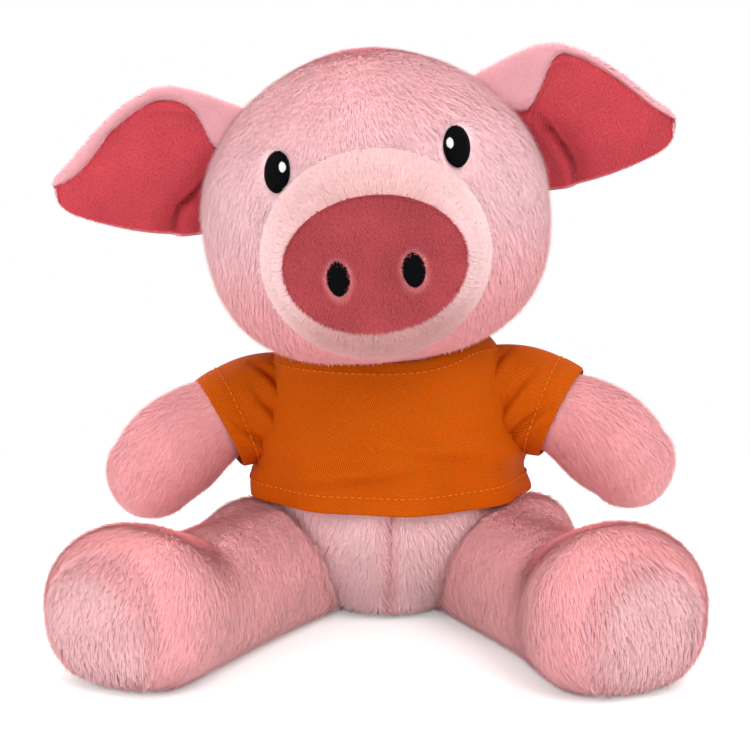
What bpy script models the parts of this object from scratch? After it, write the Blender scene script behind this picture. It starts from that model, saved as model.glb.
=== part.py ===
"""A seated plush pig in a knit shirt, modelled piece by piece as it is cut, sewn and stuffed.

Lengths are in metres and angles in degrees. +Z is up, the toy faces -Y, and its own left is at +X.
The origin is the middle of the flat patch that the toy sits on.
"""

import math

import bmesh
import bpy
from mathutils import Matrix, Vector

MM = 0.001

# Fits and cloth
SEAM_GAP = 0.3 * MM
SOCKET_GAP = 0.6 * MM
SKIN = 2.0 * MM
FLOOR_CUT = 0.5 * MM
OVERRUN = 60.0 * MM

# Torso: a pear, widest low down
TORSO_HEIGHT = 116.0 * MM
TORSO_WIDTH = 97.0 * MM
TORSO_DEPTH = 86.0 * MM
TORSO_OUTLINE_SHARES = (
    (0.0, 0.0), (0.34, 0.012), (0.62, 0.065), (0.84, 0.165), (0.97, 0.29), (1.0, 0.41),
    (0.97, 0.54), (0.9, 0.67), (0.79, 0.79), (0.63, 0.89), (0.36, 0.97), (0.0, 1.0),
)
SEAT_HEIGHT = 9.0 * MM

# Bag of pellets in the seat
PELLET_BAG_WIDTH = 30.0 * MM
PELLET_BAG_DEPTH = 44.0 * MM
PELLET_BAG_HEIGHT = 28.0 * MM
PELLET_BAG_BACK = 12.0 * MM

# Head: round about its own upright axis, fuller at the cheeks
HEAD_WIDTH = 129.0 * MM
HEAD_HEIGHT = 115.0 * MM
HEAD_OUT = -5.6 * MM
HEAD_FORWARD = 8.0 * MM
HEAD_SINK = 16.5 * MM
HEAD_ROLL_ANGLE = -7.0
HEAD_YAW_ANGLE = -0.9
CROWN_POWER = 1.86
CHEEK_POWER = 2.7
EAR_SEAM_BACK = 4.0 * MM

# Muzzle and snout, forward of the head's axis
MUZZLE_WIDTH = 78.0 * MM
MUZZLE_HEIGHT = 72.0 * MM
MUZZLE_REACH = 88.0 * MM
MUZZLE_DROP = 12.0 * MM
MUZZLE_OUTLINE_SHARES = (
    (0.0, 0.0, 0.2), (0.99, 0.97, 0.22), (1.0, 1.0, 0.5), (0.99, 0.97, 0.72), (0.94, 0.87, 0.86),
    (0.875, 0.755, 0.938), (0.8, 0.65, 0.975), (0.5, 0.4, 0.995), (0.0, 0.0, 1.0),
)
SNOUT_WIDTH = 62.5 * MM
SNOUT_HEIGHT = 46.5 * MM
SNOUT_CUT_SHARE = 0.72

# Embroidered eyes and nostrils
THREAD_LIFT = 0.8 * MM
HIGHLIGHT_LIFT = 0.5 * MM
EYE_WIDTH = 9.4 * MM
EYE_HEIGHT = 14.2 * MM
EYE_SPACING = 64.0 * MM
EYE_SHIFT = 0.6 * MM
EYE_RISE = {"left": 21.2 * MM, "right": 20.0 * MM}
HIGHLIGHT_WIDTH = 3.0 * MM
HIGHLIGHT_IN = 2.2 * MM
HIGHLIGHT_UP = 1.6 * MM
NOSTRIL_WIDTH = 7.8 * MM
NOSTRIL_HEIGHT = 11.2 * MM
NOSTRIL_SPACING = 25.8 * MM
NOSTRIL_DROP = 3.5 * MM

# Ears: cupped leaves, root line on the side of the head
EAR_LENGTH = 61.0 * MM
EAR_HEIGHT = 54.0 * MM
EAR_CUP = 8.0 * MM
EAR_SWEEP = 5.0 * MM
EAR_BACK_CLOTH = 2.6 * MM
EAR_LINING_CLOTH = 1.0 * MM
EAR_ROOT_OUT = {"left": 54.5 * MM, "right": 58.0 * MM}
EAR_ROOT_UP = {"left": 23.5 * MM, "right": 22.0 * MM}
EAR_ROOT_BACK = 2.0 * MM
EAR_DROOP_ANGLE = {"left": 6.0, "right": 1.0}
EAR_FLOP_ANGLE = 20.0
EAR_STATION_SHARES = (-0.2, 0.02, 0.18, 0.36, 0.54, 0.7, 0.83, 0.92, 0.975)
EAR_UPPER_SHARES = (
    (-0.2, 0.8), (0.02, 0.96), (0.18, 1.05), (0.36, 1.0), (0.54, 0.8), (0.7, 0.55), (0.83, 0.31),
    (0.92, 0.17), (0.975, 0.09), (1.0, 0.0),
)
EAR_LOWER_SHARES = (
    (-0.2, 0.82), (0.02, 0.92), (0.18, 0.93), (0.36, 0.87), (0.54, 0.76), (0.7, 0.63), (0.83, 0.5),
    (0.92, 0.38), (0.975, 0.22), (1.0, 0.0),
)
EAR_HEM_SHARE = 0.95
EAR_RIM_SHARE = 0.84
EAR_BACK_SHARE = 0.9
EAR_LINING_INSET_SHARE = 0.06
EAR_LINING_LENGTH_SHARE = 0.93
EAR_ACROSS_SHARES = (-0.84, -0.42, 0.0, 0.42, 0.84)

# Arms: soft sausages that leave the shoulder level and curve down
ARM_ROOT_RADIUS = 14.0 * MM
ARM_RADIUS = 18.5 * MM
SHOULDER_OUT = 36.0 * MM
SHOULDER_DROP = 33.0 * MM
ARM_BEND = {
    "left": Vector((31.0 * MM, -4.0 * MM, -1.0 * MM)),
    "right": Vector((30.0 * MM, -4.0 * MM, -3.0 * MM)),
}
ARM_END = {
    "left": Vector((54.5 * MM, -15.0 * MM, -24.5 * MM)),
    "right": Vector((53.5 * MM, -15.0 * MM, -28.0 * MM)),
}
ARM_FULLNESS_SHARES = ((0.0, 0.0), (0.2, 0.12), (0.4, 0.26), (0.6, 0.62), (0.8, 1.0), (0.93, 0.9), (1.0, 0.65))
ARM_LIFT_ANGLE = 30.0
ARM_DROP_ANGLE = 12.0

# Legs: they lie on the floor, feet turned up
LEG_LENGTH = 126.0 * MM
LEG_RADIUS = 22.0 * MM
FOOT_WIDTH = 57.0 * MM
FOOT_HEIGHT = 57.0 * MM
HIP_OUT = 32.0 * MM
HIP_FORWARD = 8.0 * MM
LEG_HEADING_ANGLE = {"left": 24.5, "right": 31.5}
LEG_FOOT_SHARES = (
    (0.0, 0.0), (0.2, 0.0), (0.4, 0.02), (0.55, 0.12), (0.68, 0.45), (0.79, 0.85), (0.88, 1.0), (0.95, 0.93),
    (1.0, 0.72),
)
LEG_STATION_SHARES = (0.0, 0.15, 0.3, 0.45, 0.57, 0.68, 0.78, 0.87, 0.94)
SETTLED_POWER = 2.8
SOLE_CROWN = 3.0 * MM
SOLE_WIDTH = 44.0 * MM
SOLE_HEIGHT = 48.0 * MM
SOLE_ROUND_SHARES = ((1.0, 0.97), (0.33, 0.75), (0.0, 0.4))
LEG_SPREAD_ANGLE = 15.0
LEG_CLOSE_ANGLE = 8.0

# Tail: one curl of a thin stuffed tube
TAIL_RADIUS = 3.3 * MM
TAIL_TIP_SHARE = 0.6
TAIL_CURL_RADIUS = 5.6 * MM
TAIL_REACH = 15.0 * MM
TAIL_HEIGHT = 31.0 * MM
TAIL_ROUTE_SHARES = (
    (0.0, -0.2, 0.0), (0.0, 0.2, 0.0), (0.45, 0.46, 0.15), (1.0, 0.58, 0.9), (0.55, 0.69, 1.8),
    (-0.5, 0.77, 1.75), (-0.95, 0.85, 0.8), (-0.2, 0.93, 0.05), (0.75, 1.0, 0.4),
)
TAIL_WAG_ANGLE = 20.0

# Shirt: knit cloth that hangs off the shoulders, with a closure down the back
KNIT = 1.2 * MM
SHIRT_NECK_DROP = 15.0 * MM
SHIRT_LENGTH = 55.0 * MM
SHIRT_NECK_DIP = 2.0 * MM
SHIRT_HEM_EASE = 3.2 * MM
SHIRT_NECK_EASE = 9.0 * MM
SHIRT_FOLD_DEPTH = 1.1 * MM
SHIRT_FOLDS = 9
SHIRT_HEAD_GAP = 1.5 * MM
CLOSURE_OVERLAP = 8.0 * MM
CLOSURE_CLOTH = 0.9 * MM
CLOSURE_WIDTH = 10.0 * MM
CLOSURE_MARGIN = 3.0 * MM
SLEEVE_EASE = 1.6 * MM
SLEEVE_ROOT_EASE = 3.4 * MM
SLEEVE_FOLD_DEPTH = 0.8 * MM
SLEEVE_FOLDS = 5
SLEEVE_START_SHARE = -0.1
SLEEVE_OVERRUN_SHARE = 0.2
CUFF_SHARE = 0.52

# Facets
TORSO_FACETS = 20
TORSO_RINGS = 10
OUTLINE_STEPS = 80
HEAD_FACETS = 24
MUZZLE_FACETS = 20
MUZZLE_RINGS = 8
LIMB_FACETS = 14
ARM_RINGS = 6
SLEEVE_RINGS = 6
CAP_ANGLES = (30.0, 60.0, 90.0)
TIP_ANGLES = (45.0, 90.0)
BALL_FACETS = 16
LEG_FACETS = 18
TAIL_FACETS = 8
TAIL_RINGS = 18
PATCH_FACETS = 12
SHIRT_COLUMNS = 9
SHIRT_ROWS = 4
POSE_STEP_ANGLE = 15.0
WELD = 0.002 * MM
POLE_SHARE = 1e-6
FLAT_ANGLE = 1.0
SHARP_ANGLE = 40.0

SIDES = {"left": 1, "right": -1}

# Colours (linear) with roughness
FINISHES = {
    "pink_pile": ((0.80, 0.42, 0.44), 0.95),
    "pale_pile": ((0.86, 0.62, 0.62), 0.95),
    "belly_pile": ((0.76, 0.42, 0.44), 0.95),
    "sole_pile": ((0.74, 0.44, 0.46), 0.95),
    "coral_plush": ((0.55, 0.09, 0.11), 0.9),
    "ear_plush": ((0.62, 0.07, 0.09), 0.9),
    "orange_knit": ((0.62, 0.11, 0.003), 0.8),
    "black_thread": ((0.006, 0.005, 0.006), 0.45),
    "white_thread": ((0.85, 0.85, 0.85), 0.5),
    "hook_tape": ((0.6, 0.11, 0.01), 0.85),
    "fibre": ((0.9, 0.9, 0.88), 1.0),
    "pellet_cloth": ((0.8, 0.78, 0.72), 0.9),
}


def clear_scene():
    for item in list(bpy.data.objects):
        bpy.data.objects.remove(item, do_unlink=True)


def finish_material(name):
    """The Principled material of one finish, made when it is first asked for."""
    material = bpy.data.materials.get(name)
    if material is None:
        colour, roughness = FINISHES[name]
        material = bpy.data.materials.new(name)
        material.use_nodes = True
        shader = material.node_tree.nodes["Principled BSDF"]
        shader.inputs["Base Color"].default_value = (*colour, 1.0)
        shader.inputs["Roughness"].default_value = roughness
        shader.inputs["Metallic"].default_value = 0.0
    return material


# Meshes from rings

def as_object(name, bm):
    bmesh.ops.triangulate(bm, faces=bm.faces)
    mesh = bpy.data.meshes.new(name)
    bm.to_mesh(mesh)
    bm.free()
    item = bpy.data.objects.new(name, mesh)
    bpy.context.scene.collection.objects.link(item)
    return item


def join_rings(bm, near, far):
    """Faces between two rings; a ring of one point is a pole."""
    count = max(len(near), len(far))
    for i in range(count):
        j = (i + 1) % count
        if len(near) == 1:
            bm.faces.new((near[0], far[i], far[j]))
        elif len(far) == 1:
            bm.faces.new((near[i], far[0], near[j]))
        else:
            bm.faces.new((near[i], far[i], far[j], near[j]))


def face_outwards(bm):
    bmesh.ops.recalc_face_normals(bm, faces=bm.faces)
    if bm.calc_volume(signed=True) < 0:
        bmesh.ops.reverse_faces(bm, faces=bm.faces)


def swell(bm, distance):
    """Move every face outwards by the same distance."""
    bm.normal_update()
    moves = [vert.normal * vert.calc_shell_factor() * distance for vert in bm.verts]
    for vert, move in zip(bm.verts, moves):
        vert.co += move


def skin_over(name, rings, grow=0.0):
    """A closed skin over rings of points, ending in single points or in flat ends."""
    bm = bmesh.new()
    made = [[bm.verts.new(point) for point in ring] for ring in rings]
    for near, far in zip(made, made[1:]):
        join_rings(bm, near, far)
    for end in (made[0], made[-1]):
        if len(end) > 1:
            bm.faces.new(end)
    face_outwards(bm)
    if grow:
        swell(bm, grow)
    return as_object(name, bm)


def oval(centre, across, up, half_across, half_up, facets, ripple=None):
    """One ring of a form: an ellipse in the plane of two unit vectors."""
    ring = []
    for i in range(facets):
        angle = 2.0 * math.pi * i / facets
        swing = ripple(angle) if ripple else 0.0
        ring.append(
            centre
            + across * ((half_across + swing) * math.cos(angle))
            + up * ((half_up + swing) * math.sin(angle))
        )
    return ring


# Curves through hand-chosen points

def curve_value(points, knots, place):
    """A smooth curve through points at rising knots, read at one place."""
    last = len(knots) - 1
    i = max(0, min(last - 1, sum(1 for knot in knots if knot <= place) - 1))
    before, after = max(0, i - 1), min(last, i + 2)
    width = knots[i + 1] - knots[i]
    near, far = points[i], points[i + 1]
    slope_near = (far - points[before]) / (knots[i + 1] - knots[before])
    slope_far = (points[after] - near) / (knots[after] - knots[i])
    t = (place - knots[i]) / width
    return (
        near * (2 * t**3 - 3 * t**2 + 1)
        + slope_near * (width * (t**3 - 2 * t**2 + t))
        + far * (-2 * t**3 + 3 * t**2)
        + slope_far * (width * (t**3 - t**2))
    )


def table_value(table, place):
    return curve_value([value for _, value in table], [knot for knot, _ in table], place)


def outline_points(shares, steps):
    """Points along a closed-ended outline, rounded over at both poles."""
    points = [Vector(share) for share in shares]
    flip = [-1.0] + [1.0] * (len(points[0]) - 1)
    if len(points[0]) == 3:
        flip[1] = -1.0
    mirrored = [Vector(v * f for v, f in zip(point, flip)) for point in (points[1], points[-2])]
    run = [mirrored[0], *points, mirrored[1]]
    knots = list(range(-1, len(points) + 1))
    found = []
    for step in range(steps + 1):
        place = step * (len(points) - 1) / steps
        found.append(curve_value(run, knots, place))
    return found


# Boolean work

def changed(item, operation, *tools):
    """Apply Boolean operations to an object, one tool after another."""
    for tool in tools:
        bpy.context.view_layer.update()
        modifier = item.modifiers.new("join", "BOOLEAN")
        modifier.solver = "EXACT"
        modifier.operation = operation
        modifier.object = tool
        depsgraph = bpy.context.evaluated_depsgraph_get()
        mesh = bpy.data.meshes.new_from_object(item.evaluated_get(depsgraph))
        item.modifiers.remove(modifier)
        item.data = mesh
    return item


def minus(item, *tools):
    return changed(item, "DIFFERENCE", *tools)


def plus(item, *tools):
    return changed(item, "UNION", *tools)


def within(item, *tools):
    return changed(item, "INTERSECT", *tools)


def block(low, high):
    """A box between two corners, for splitting pieces and cutting flats."""
    bm = bmesh.new()
    middle = (Vector(low) + Vector(high)) / 2
    size = Vector(high) - Vector(low)
    place = Matrix.Translation(middle) @ Matrix.Diagonal((*size, 1.0))
    bmesh.ops.create_cube(bm, size=1.0, matrix=place)
    return as_object("block", bm)


def side_block(normal, start):
    """Everything past a plane across X, Y or Z, as a large box."""
    reach = TORSO_HEIGHT + HEAD_HEIGHT + OVERRUN
    low, high = Vector((-reach,) * 3), Vector((reach,) * 3)
    axis = max(range(3), key=lambda i: abs(normal[i]))
    if normal[axis] > 0:
        low[axis] = start
    else:
        high[axis] = start
    return block(low, high)


def rod(centre, axis, across, half_across, half_up, length, facets, grow=0.0):
    """An elliptical rod along an axis, from a centre onwards."""
    along = axis.normalized()
    side = across.normalized()
    up = along.cross(side)
    ends = (centre, centre + along * length)
    rings = [oval(end, side, up, half_across + grow, half_up + grow, facets) for end in ends]
    return skin_over("rod", rings)


def ball(centre, radius, facets=BALL_FACETS):
    """A ball whose facets face the axes, so that none of its edges runs along a limb's own."""
    steps = facets // 2
    rings = []
    half_turn = math.pi / facets
    across = Vector((math.cos(half_turn), math.sin(half_turn), 0))
    forward = Vector((-across.y, across.x, 0))
    for step in range(steps + 1):
        angle = math.pi * step / steps
        level = centre + Vector((0, 0, -math.cos(angle) * radius))
        if step in (0, steps):
            rings.append([level])
        else:
            size = math.sin(angle) * radius
            rings.append(oval(level, across, forward, size, size, facets))
    return skin_over("ball", rings)


def placed(item, matrix):
    item.data.transform(matrix)
    return item


def turned(item, pivot, axis, angle):
    """The same object turned about an axis through a pivot."""
    about = Matrix.Translation(pivot) @ Matrix.Rotation(math.radians(angle), 4, axis)
    return placed(item, about @ Matrix.Translation(-pivot))


def pose_angles(low, high):
    count = max(1, math.ceil((high - low) / POSE_STEP_ANGLE))
    return [low + (high - low) * i / count for i in range(count + 1)]


# Torso

def torso_outline():
    return outline_points(TORSO_OUTLINE_SHARES, TORSO_RINGS)


def torso_half(height):
    """The torso's half width and half depth at a height."""
    points = outline_points(TORSO_OUTLINE_SHARES, OUTLINE_STEPS)
    level = (height + FLOOR_CUT) / TORSO_HEIGHT
    for low, high in zip(points, points[1:]):
        if low.y <= level <= high.y:
            share = low.x + (high.x - low.x) * (level - low.y) / (high.y - low.y)
            return share * TORSO_WIDTH / 2, share * TORSO_DEPTH / 2
    return 0.0, 0.0


def torso_form(grow=0.0):
    rings = []
    for point in torso_outline():
        centre = Vector((0, 0, point.y * TORSO_HEIGHT - FLOOR_CUT))
        if point.x < POLE_SHARE:
            rings.append([centre])
        else:
            sizes = (point.x * TORSO_WIDTH / 2, point.x * TORSO_DEPTH / 2)
            rings.append(oval(centre, Vector((1, 0, 0)), Vector((0, 1, 0)), *sizes, TORSO_FACETS))
    return skin_over("torso_form", rings, grow)


def hip(side):
    return Vector((SIDES[side] * HIP_OUT, -HIP_FORWARD, LEG_RADIUS - FLOOR_CUT))


def shoulder(side):
    return Vector((SIDES[side] * SHOULDER_OUT, 0, TORSO_HEIGHT - SHOULDER_DROP))


def limb_sockets():
    sockets = []
    for side in SIDES:
        sockets.append(ball(shoulder(side), ARM_ROOT_RADIUS + SOCKET_GAP))
        sockets.append(ball(hip(side), LEG_RADIUS + SOCKET_GAP))
    return sockets


def pellet_bag_form(grow=0.0):
    bag = ball(Vector((0, 0, 0)), 1.0)
    sizes = (PELLET_BAG_WIDTH / 2 + grow, PELLET_BAG_DEPTH / 2 + grow, PELLET_BAG_HEIGHT / 2 + grow)
    centre = Matrix.Translation((0, PELLET_BAG_BACK, PELLET_BAG_HEIGHT / 2 - SKIN))
    return placed(bag, centre @ Matrix.Diagonal((*sizes, 1.0)))


def build_torso(pieces):
    floor = side_block((0, 0, -1), 0.0)
    head = head_form(SOCKET_GAP)
    sockets = limb_sockets()
    skin = minus(torso_form(), torso_form(-SKIN), head, *sockets, floor)
    seat = skin.copy()
    bpy.context.scene.collection.objects.link(seat)
    half_gap = SEAM_GAP / 2
    pieces["seat_panel"] = minus(seat, side_block((0, 0, 1), SEAT_HEIGHT - half_gap))
    minus(skin, side_block((0, 0, -1), SEAT_HEIGHT + half_gap))
    for side, sign in SIDES.items():
        panel = skin.copy()
        bpy.context.scene.collection.objects.link(panel)
        pieces["torso_panel_" + side] = minus(panel, side_block((-sign, 0, 0), sign * half_gap))
    filling = SKIN + SEAM_GAP
    pieces["torso_stuffing"] = minus(
        torso_form(-filling), pellet_bag_form(SEAM_GAP), head, *sockets
    )
    pieces["pellet_bag"] = within(pellet_bag_form(), torso_form(-filling))


# Head

def head_matrix():
    centre = Vector((HEAD_OUT, -HEAD_FORWARD, TORSO_HEIGHT - HEAD_SINK + HEAD_HEIGHT / 2))
    roll = Matrix.Rotation(math.radians(HEAD_ROLL_ANGLE), 4, "Y")
    return Matrix.Translation(centre) @ roll @ Matrix.Rotation(math.radians(HEAD_YAW_ANGLE), 4, "Z")


def head_form(grow=0.0):
    steps = HEAD_FACETS // 2
    rings = []
    for step in range(steps + 1):
        angle = math.pi * (step / steps - 0.5)
        power = 2.0 / (CROWN_POWER if angle > 0 else CHEEK_POWER)
        level = math.copysign(abs(math.sin(angle)) ** power, angle) * HEAD_HEIGHT / 2
        size = abs(math.cos(angle)) ** power * HEAD_WIDTH / 2
        centre = Vector((0, 0, level))
        if step in (0, steps):
            rings.append([centre])
        else:
            rings.append(oval(centre, Vector((1, 0, 0)), Vector((0, 1, 0)), size, size, HEAD_FACETS))
    return placed(skin_over("head_form", rings, grow), head_matrix())


def muzzle_form(grow=0.0):
    rings = []
    for point in outline_points(MUZZLE_OUTLINE_SHARES, MUZZLE_RINGS):
        centre = Vector((0, -point.z * MUZZLE_REACH, -MUZZLE_DROP))
        if point.x < POLE_SHARE:
            rings.append([centre])
        else:
            sizes = (point.x * MUZZLE_WIDTH / 2, point.y * MUZZLE_HEIGHT / 2)
            rings.append(oval(centre, Vector((1, 0, 0)), Vector((0, 0, 1)), *sizes, MUZZLE_FACETS))
    return placed(skin_over("muzzle_form", rings, grow), head_matrix())


def face_rod(out, up, width, height, start, facets=PATCH_FACETS, grow=0.0):
    """A rod that runs forwards through the face at one place."""
    centre = Vector((out, -start, up))
    forward, across = Vector((0, -1, 0)), Vector((1, 0, 0))
    made = rod(centre, forward, across, width / 2, height / 2, MUZZLE_REACH, facets, grow)
    return placed(made, head_matrix())


def patch(form, lift, thickness, cutter):
    """A thin patch that lies on a form, cut out by a rod."""
    return within(minus(form(lift + thickness), form(lift)), cutter)


def build_head(pieces):
    matrix = head_matrix()
    seam_low = side_block((0, 1, 0), EAR_SEAM_BACK - SEAM_GAP / 2)
    seam_high = side_block((0, -1, 0), EAR_SEAM_BACK + SEAM_GAP / 2)
    for cutter in (seam_low, seam_high):
        placed(cutter, matrix)
    snout = (0.0, -MUZZLE_DROP, SNOUT_WIDTH, SNOUT_HEIGHT, MUZZLE_REACH * SNOUT_CUT_SHARE)
    pieces["head_front_panel"] = minus(head_form(), head_form(-SKIN), seam_low, muzzle_form(SEAM_GAP))
    pieces["head_back_panel"] = minus(head_form(), head_form(-SKIN), seam_high)
    rim = face_rod(*snout, facets=MUZZLE_FACETS, grow=SEAM_GAP / 2)
    pieces["muzzle_band"] = minus(muzzle_form(), muzzle_form(-SKIN), head_form(-SKIN), rim)
    oval_rod = face_rod(*snout, facets=MUZZLE_FACETS, grow=-SEAM_GAP / 2)
    pieces["snout_disc"] = within(minus(muzzle_form(), muzzle_form(-SKIN)), oval_rod)
    filling = SKIN + SEAM_GAP
    pieces["head_stuffing"] = plus(head_form(-filling), muzzle_form(-filling))
    build_face(pieces)


def build_face(pieces):
    for side, sign in SIDES.items():
        place = (sign * EYE_SPACING / 2 + EYE_SHIFT, EYE_RISE[side])
        cutter = face_rod(*place, EYE_WIDTH, EYE_HEIGHT, 0.0)
        pieces["eye_" + side] = patch(head_form, SEAM_GAP, THREAD_LIFT, cutter)
        dot_place = (place[0] - sign * HIGHLIGHT_IN, place[1] + HIGHLIGHT_UP)
        cutter = face_rod(*dot_place, HIGHLIGHT_WIDTH, HIGHLIGHT_WIDTH, 0.0)
        above_eye = SEAM_GAP + THREAD_LIFT + SEAM_GAP
        pieces["eye_highlight_" + side] = patch(head_form, above_eye, HIGHLIGHT_LIFT, cutter)
        hole = (sign * NOSTRIL_SPACING / 2, -MUZZLE_DROP - NOSTRIL_DROP)
        cutter = face_rod(*hole, NOSTRIL_WIDTH, NOSTRIL_HEIGHT, MUZZLE_REACH / 2)
        pieces["nostril_" + side] = patch(muzzle_form, SEAM_GAP, THREAD_LIFT, cutter)


# Ears

def ear_root(side):
    return Vector((SIDES[side] * EAR_ROOT_OUT[side], EAR_ROOT_BACK, EAR_ROOT_UP[side]))


def ear_axis(side):
    """Along the ear's root, which runs up the side of the head."""
    radial = Vector((ear_root(side).x, 0, ear_root(side).z)).normalized()
    return Vector((-radial.z, 0, radial.x)) * SIDES[side]


def ear_place(side, along, across, lift):
    """A point of the ear in the head's frame; lift is towards its front."""
    droop = math.radians(EAR_DROOP_ANGLE[side])
    outward = Vector((SIDES[side] * math.cos(droop), 0, -math.sin(droop)))
    upward = Vector((SIDES[side] * math.sin(droop), 0, math.cos(droop)))
    table = EAR_UPPER_SHARES if across > 0 else EAR_LOWER_SHARES
    height = across * table_value(table, along) * EAR_HEIGHT / 2
    forward = EAR_CUP * (2.0 * height / EAR_HEIGHT) ** 2 + EAR_SWEEP * max(0.0, along) ** 2 + lift
    return ear_root(side) + outward * (along * EAR_LENGTH) + upward * height + Vector((0, -forward, 0))


def ear_leaf(side, reach_share, rows):
    """A closed leaf; rows give the ring of each station as (across share, lift) pairs."""
    matrix = head_matrix()
    rings = []
    first = EAR_STATION_SHARES[0]
    for share in EAR_STATION_SHARES:
        along = first + (share - first) * reach_share
        rings.append([matrix @ ear_place(side, along, across, lift) for across, lift in rows])
    return skin_over("ear_leaf", rings)


def build_ears(pieces):
    inner = EAR_RIM_SHARE - EAR_LINING_INSET_SHARE
    steps = [share * inner for share in EAR_ACROSS_SHARES]
    for side in SIDES:
        recess = -SEAM_GAP / 2
        proud = recess + SEAM_GAP + EAR_LINING_CLOTH
        front = [(-1.0, 0.0), (-EAR_HEM_SHARE, proud), (-EAR_RIM_SHARE, proud), (-EAR_RIM_SHARE, recess)]
        front += [(step, recess) for step in steps]
        front += [(EAR_RIM_SHARE, recess), (EAR_RIM_SHARE, proud), (EAR_HEM_SHARE, proud), (1.0, 0.0)]
        back = [(step, -EAR_BACK_CLOTH) for step in (EAR_BACK_SHARE, *reversed(steps), -EAR_BACK_SHARE)]
        leaf = ear_leaf(side, 1.0, front + back)
        face = [(step, proud) for step in (-inner, *steps, inner)]
        under = [(step, recess + SEAM_GAP) for step in (inner, *reversed(steps), -inner)]
        lining = ear_leaf(side, EAR_LINING_LENGTH_SHARE, face + under)
        pivot = head_matrix() @ ear_root(side)
        axis = head_matrix().to_3x3() @ ear_axis(side)
        for angle in pose_angles(-EAR_FLOP_ANGLE, EAR_FLOP_ANGLE):
            cutter = turned(head_form(SEAM_GAP), pivot, axis, angle)
            minus(leaf, cutter)
            minus(lining, cutter)
        pieces["ear_back_" + side] = leaf
        pieces["ear_lining_" + side] = lining


# Limbs

def settled(ring, centre, half_up):
    """The same upright oval with its lower half squarer, as a stuffed limb settles on the floor."""
    found = []
    for point in ring:
        offset = point - centre
        level = offset.z / half_up
        if level < 0:
            sink = (-level) ** (2 / SETTLED_POWER)
            width = (1 - sink**SETTLED_POWER) ** (1 / SETTLED_POWER) / math.sqrt(1 - level**2)
            offset = Vector((offset.x * width, offset.y * width, -sink * half_up))
        found.append(centre + offset)
    return found


def limb_rings(path, radii, facets, on_floor=False):
    """Rings along a path of (centre, direction), round-ended, for radii at each point."""
    rings = []
    for (centre, along, side), (half_across, half_up) in zip(path, radii):
        if half_across < WELD:
            rings.append([centre])
        else:
            up = along.cross(side).normalized()
            ring = oval(centre, side, up, half_across, half_up, facets)
            rings.append(settled(ring, centre, half_up) if on_floor else ring)
    return rings


def cap_rings(radius, angles):
    """The rings of a round end: how far past the last ring each lies, and its radius."""
    turns = [math.radians(angle) for angle in angles]
    return [(radius * math.sin(turn), radius * math.cos(turn)) for turn in turns]


def arm_point(side, share):
    """The arm's centre line and its direction, straight on past both ends."""
    turns = (ARM_BEND[side], ARM_END[side])
    bend, end = (Vector((SIDES[side] * turn.x, turn.y, turn.z)) for turn in turns)
    t = min(1.0, max(0.0, share))
    centre = shoulder(side) + bend * (2 * t * (1 - t)) + end * t**2
    along = (bend * (1 - t) + (end - bend) * t).normalized()
    return centre + along * ((share - t) * arm_length(side)), along


def arm_length(side):
    return ARM_BEND[side].length / 2 + ARM_END[side].length / 2


def arm_radius(share):
    fullness = table_value(ARM_FULLNESS_SHARES, min(1.0, max(0.0, share)))
    return ARM_ROOT_RADIUS + (ARM_RADIUS - ARM_ROOT_RADIUS) * fullness


def arm_form(side, grow=0.0):
    length, tip = arm_length(side), arm_radius(1.0)
    stations = [(-reach, size) for reach, size in reversed(cap_rings(ARM_ROOT_RADIUS, CAP_ANGLES))]
    stations += [(length * i / ARM_RINGS, arm_radius(i / ARM_RINGS)) for i in range(ARM_RINGS + 1)]
    stations += [(length + reach, size) for reach, size in cap_rings(tip, CAP_ANGLES)]
    path, radii = [], []
    for place, radius in stations:
        centre, along = arm_point(side, place / length)
        across = (Vector((0, 1, 0)) - along * along.y).normalized()
        path.append((centre, along, across))
        radii.append((radius, radius))
    return skin_over("arm_form", limb_rings(path, radii, LIMB_FACETS), grow)


def leg_along(side):
    heading = math.radians(LEG_HEADING_ANGLE[side])
    return Vector((SIDES[side] * math.sin(heading), -math.cos(heading), 0))


def leg_half(share):
    """Half width and half height of the leg, which widens into the foot."""
    foot = table_value(LEG_FOOT_SHARES, min(1.0, max(0.0, share)))
    return (
        LEG_RADIUS + foot * (FOOT_WIDTH / 2 - LEG_RADIUS),
        LEG_RADIUS + foot * (FOOT_HEIGHT / 2 - LEG_RADIUS),
    )


def leg_form(side, grow=0.0):
    along = leg_along(side)
    across = along.cross(Vector((0, 0, 1)))
    hip_rings = reversed(cap_rings(LEG_RADIUS, CAP_ANGLES))
    stations = [(-reach, size / LEG_RADIUS, 0.0) for reach, size in hip_rings]
    stations += [(share * LEG_LENGTH, 1.0, share) for share in LEG_STATION_SHARES]
    stations += [(LEG_LENGTH - SOLE_CROWN * depth, size, 1.0) for depth, size in SOLE_ROUND_SHARES]
    stations.append((LEG_LENGTH, 0.0, 1.0))
    path, radii = [], []
    for place, size_share, share in stations:
        half_width, half_height = leg_half(share)
        centre = Vector((hip(side).x, hip(side).y, half_height - FLOOR_CUT)) + along * place
        path.append((centre, along, across))
        radii.append((half_width * size_share, half_height * size_share))
    return skin_over("leg_form", limb_rings(path, radii, LEG_FACETS, on_floor=True), grow)


def limb_body(form, side, pivot, root_radius, axis, angles, inset):
    """A limb's form, inset, cleared of the torso at every pose, with the ball it turns on."""
    limb = form(side, -inset)
    for angle in angles:
        cutter = turned(torso_form(SEAM_GAP + inset), pivot, axis, -angle)
        minus(limb, cutter)
    return plus(limb, ball(pivot, root_radius - SEAM_GAP - inset))


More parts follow.
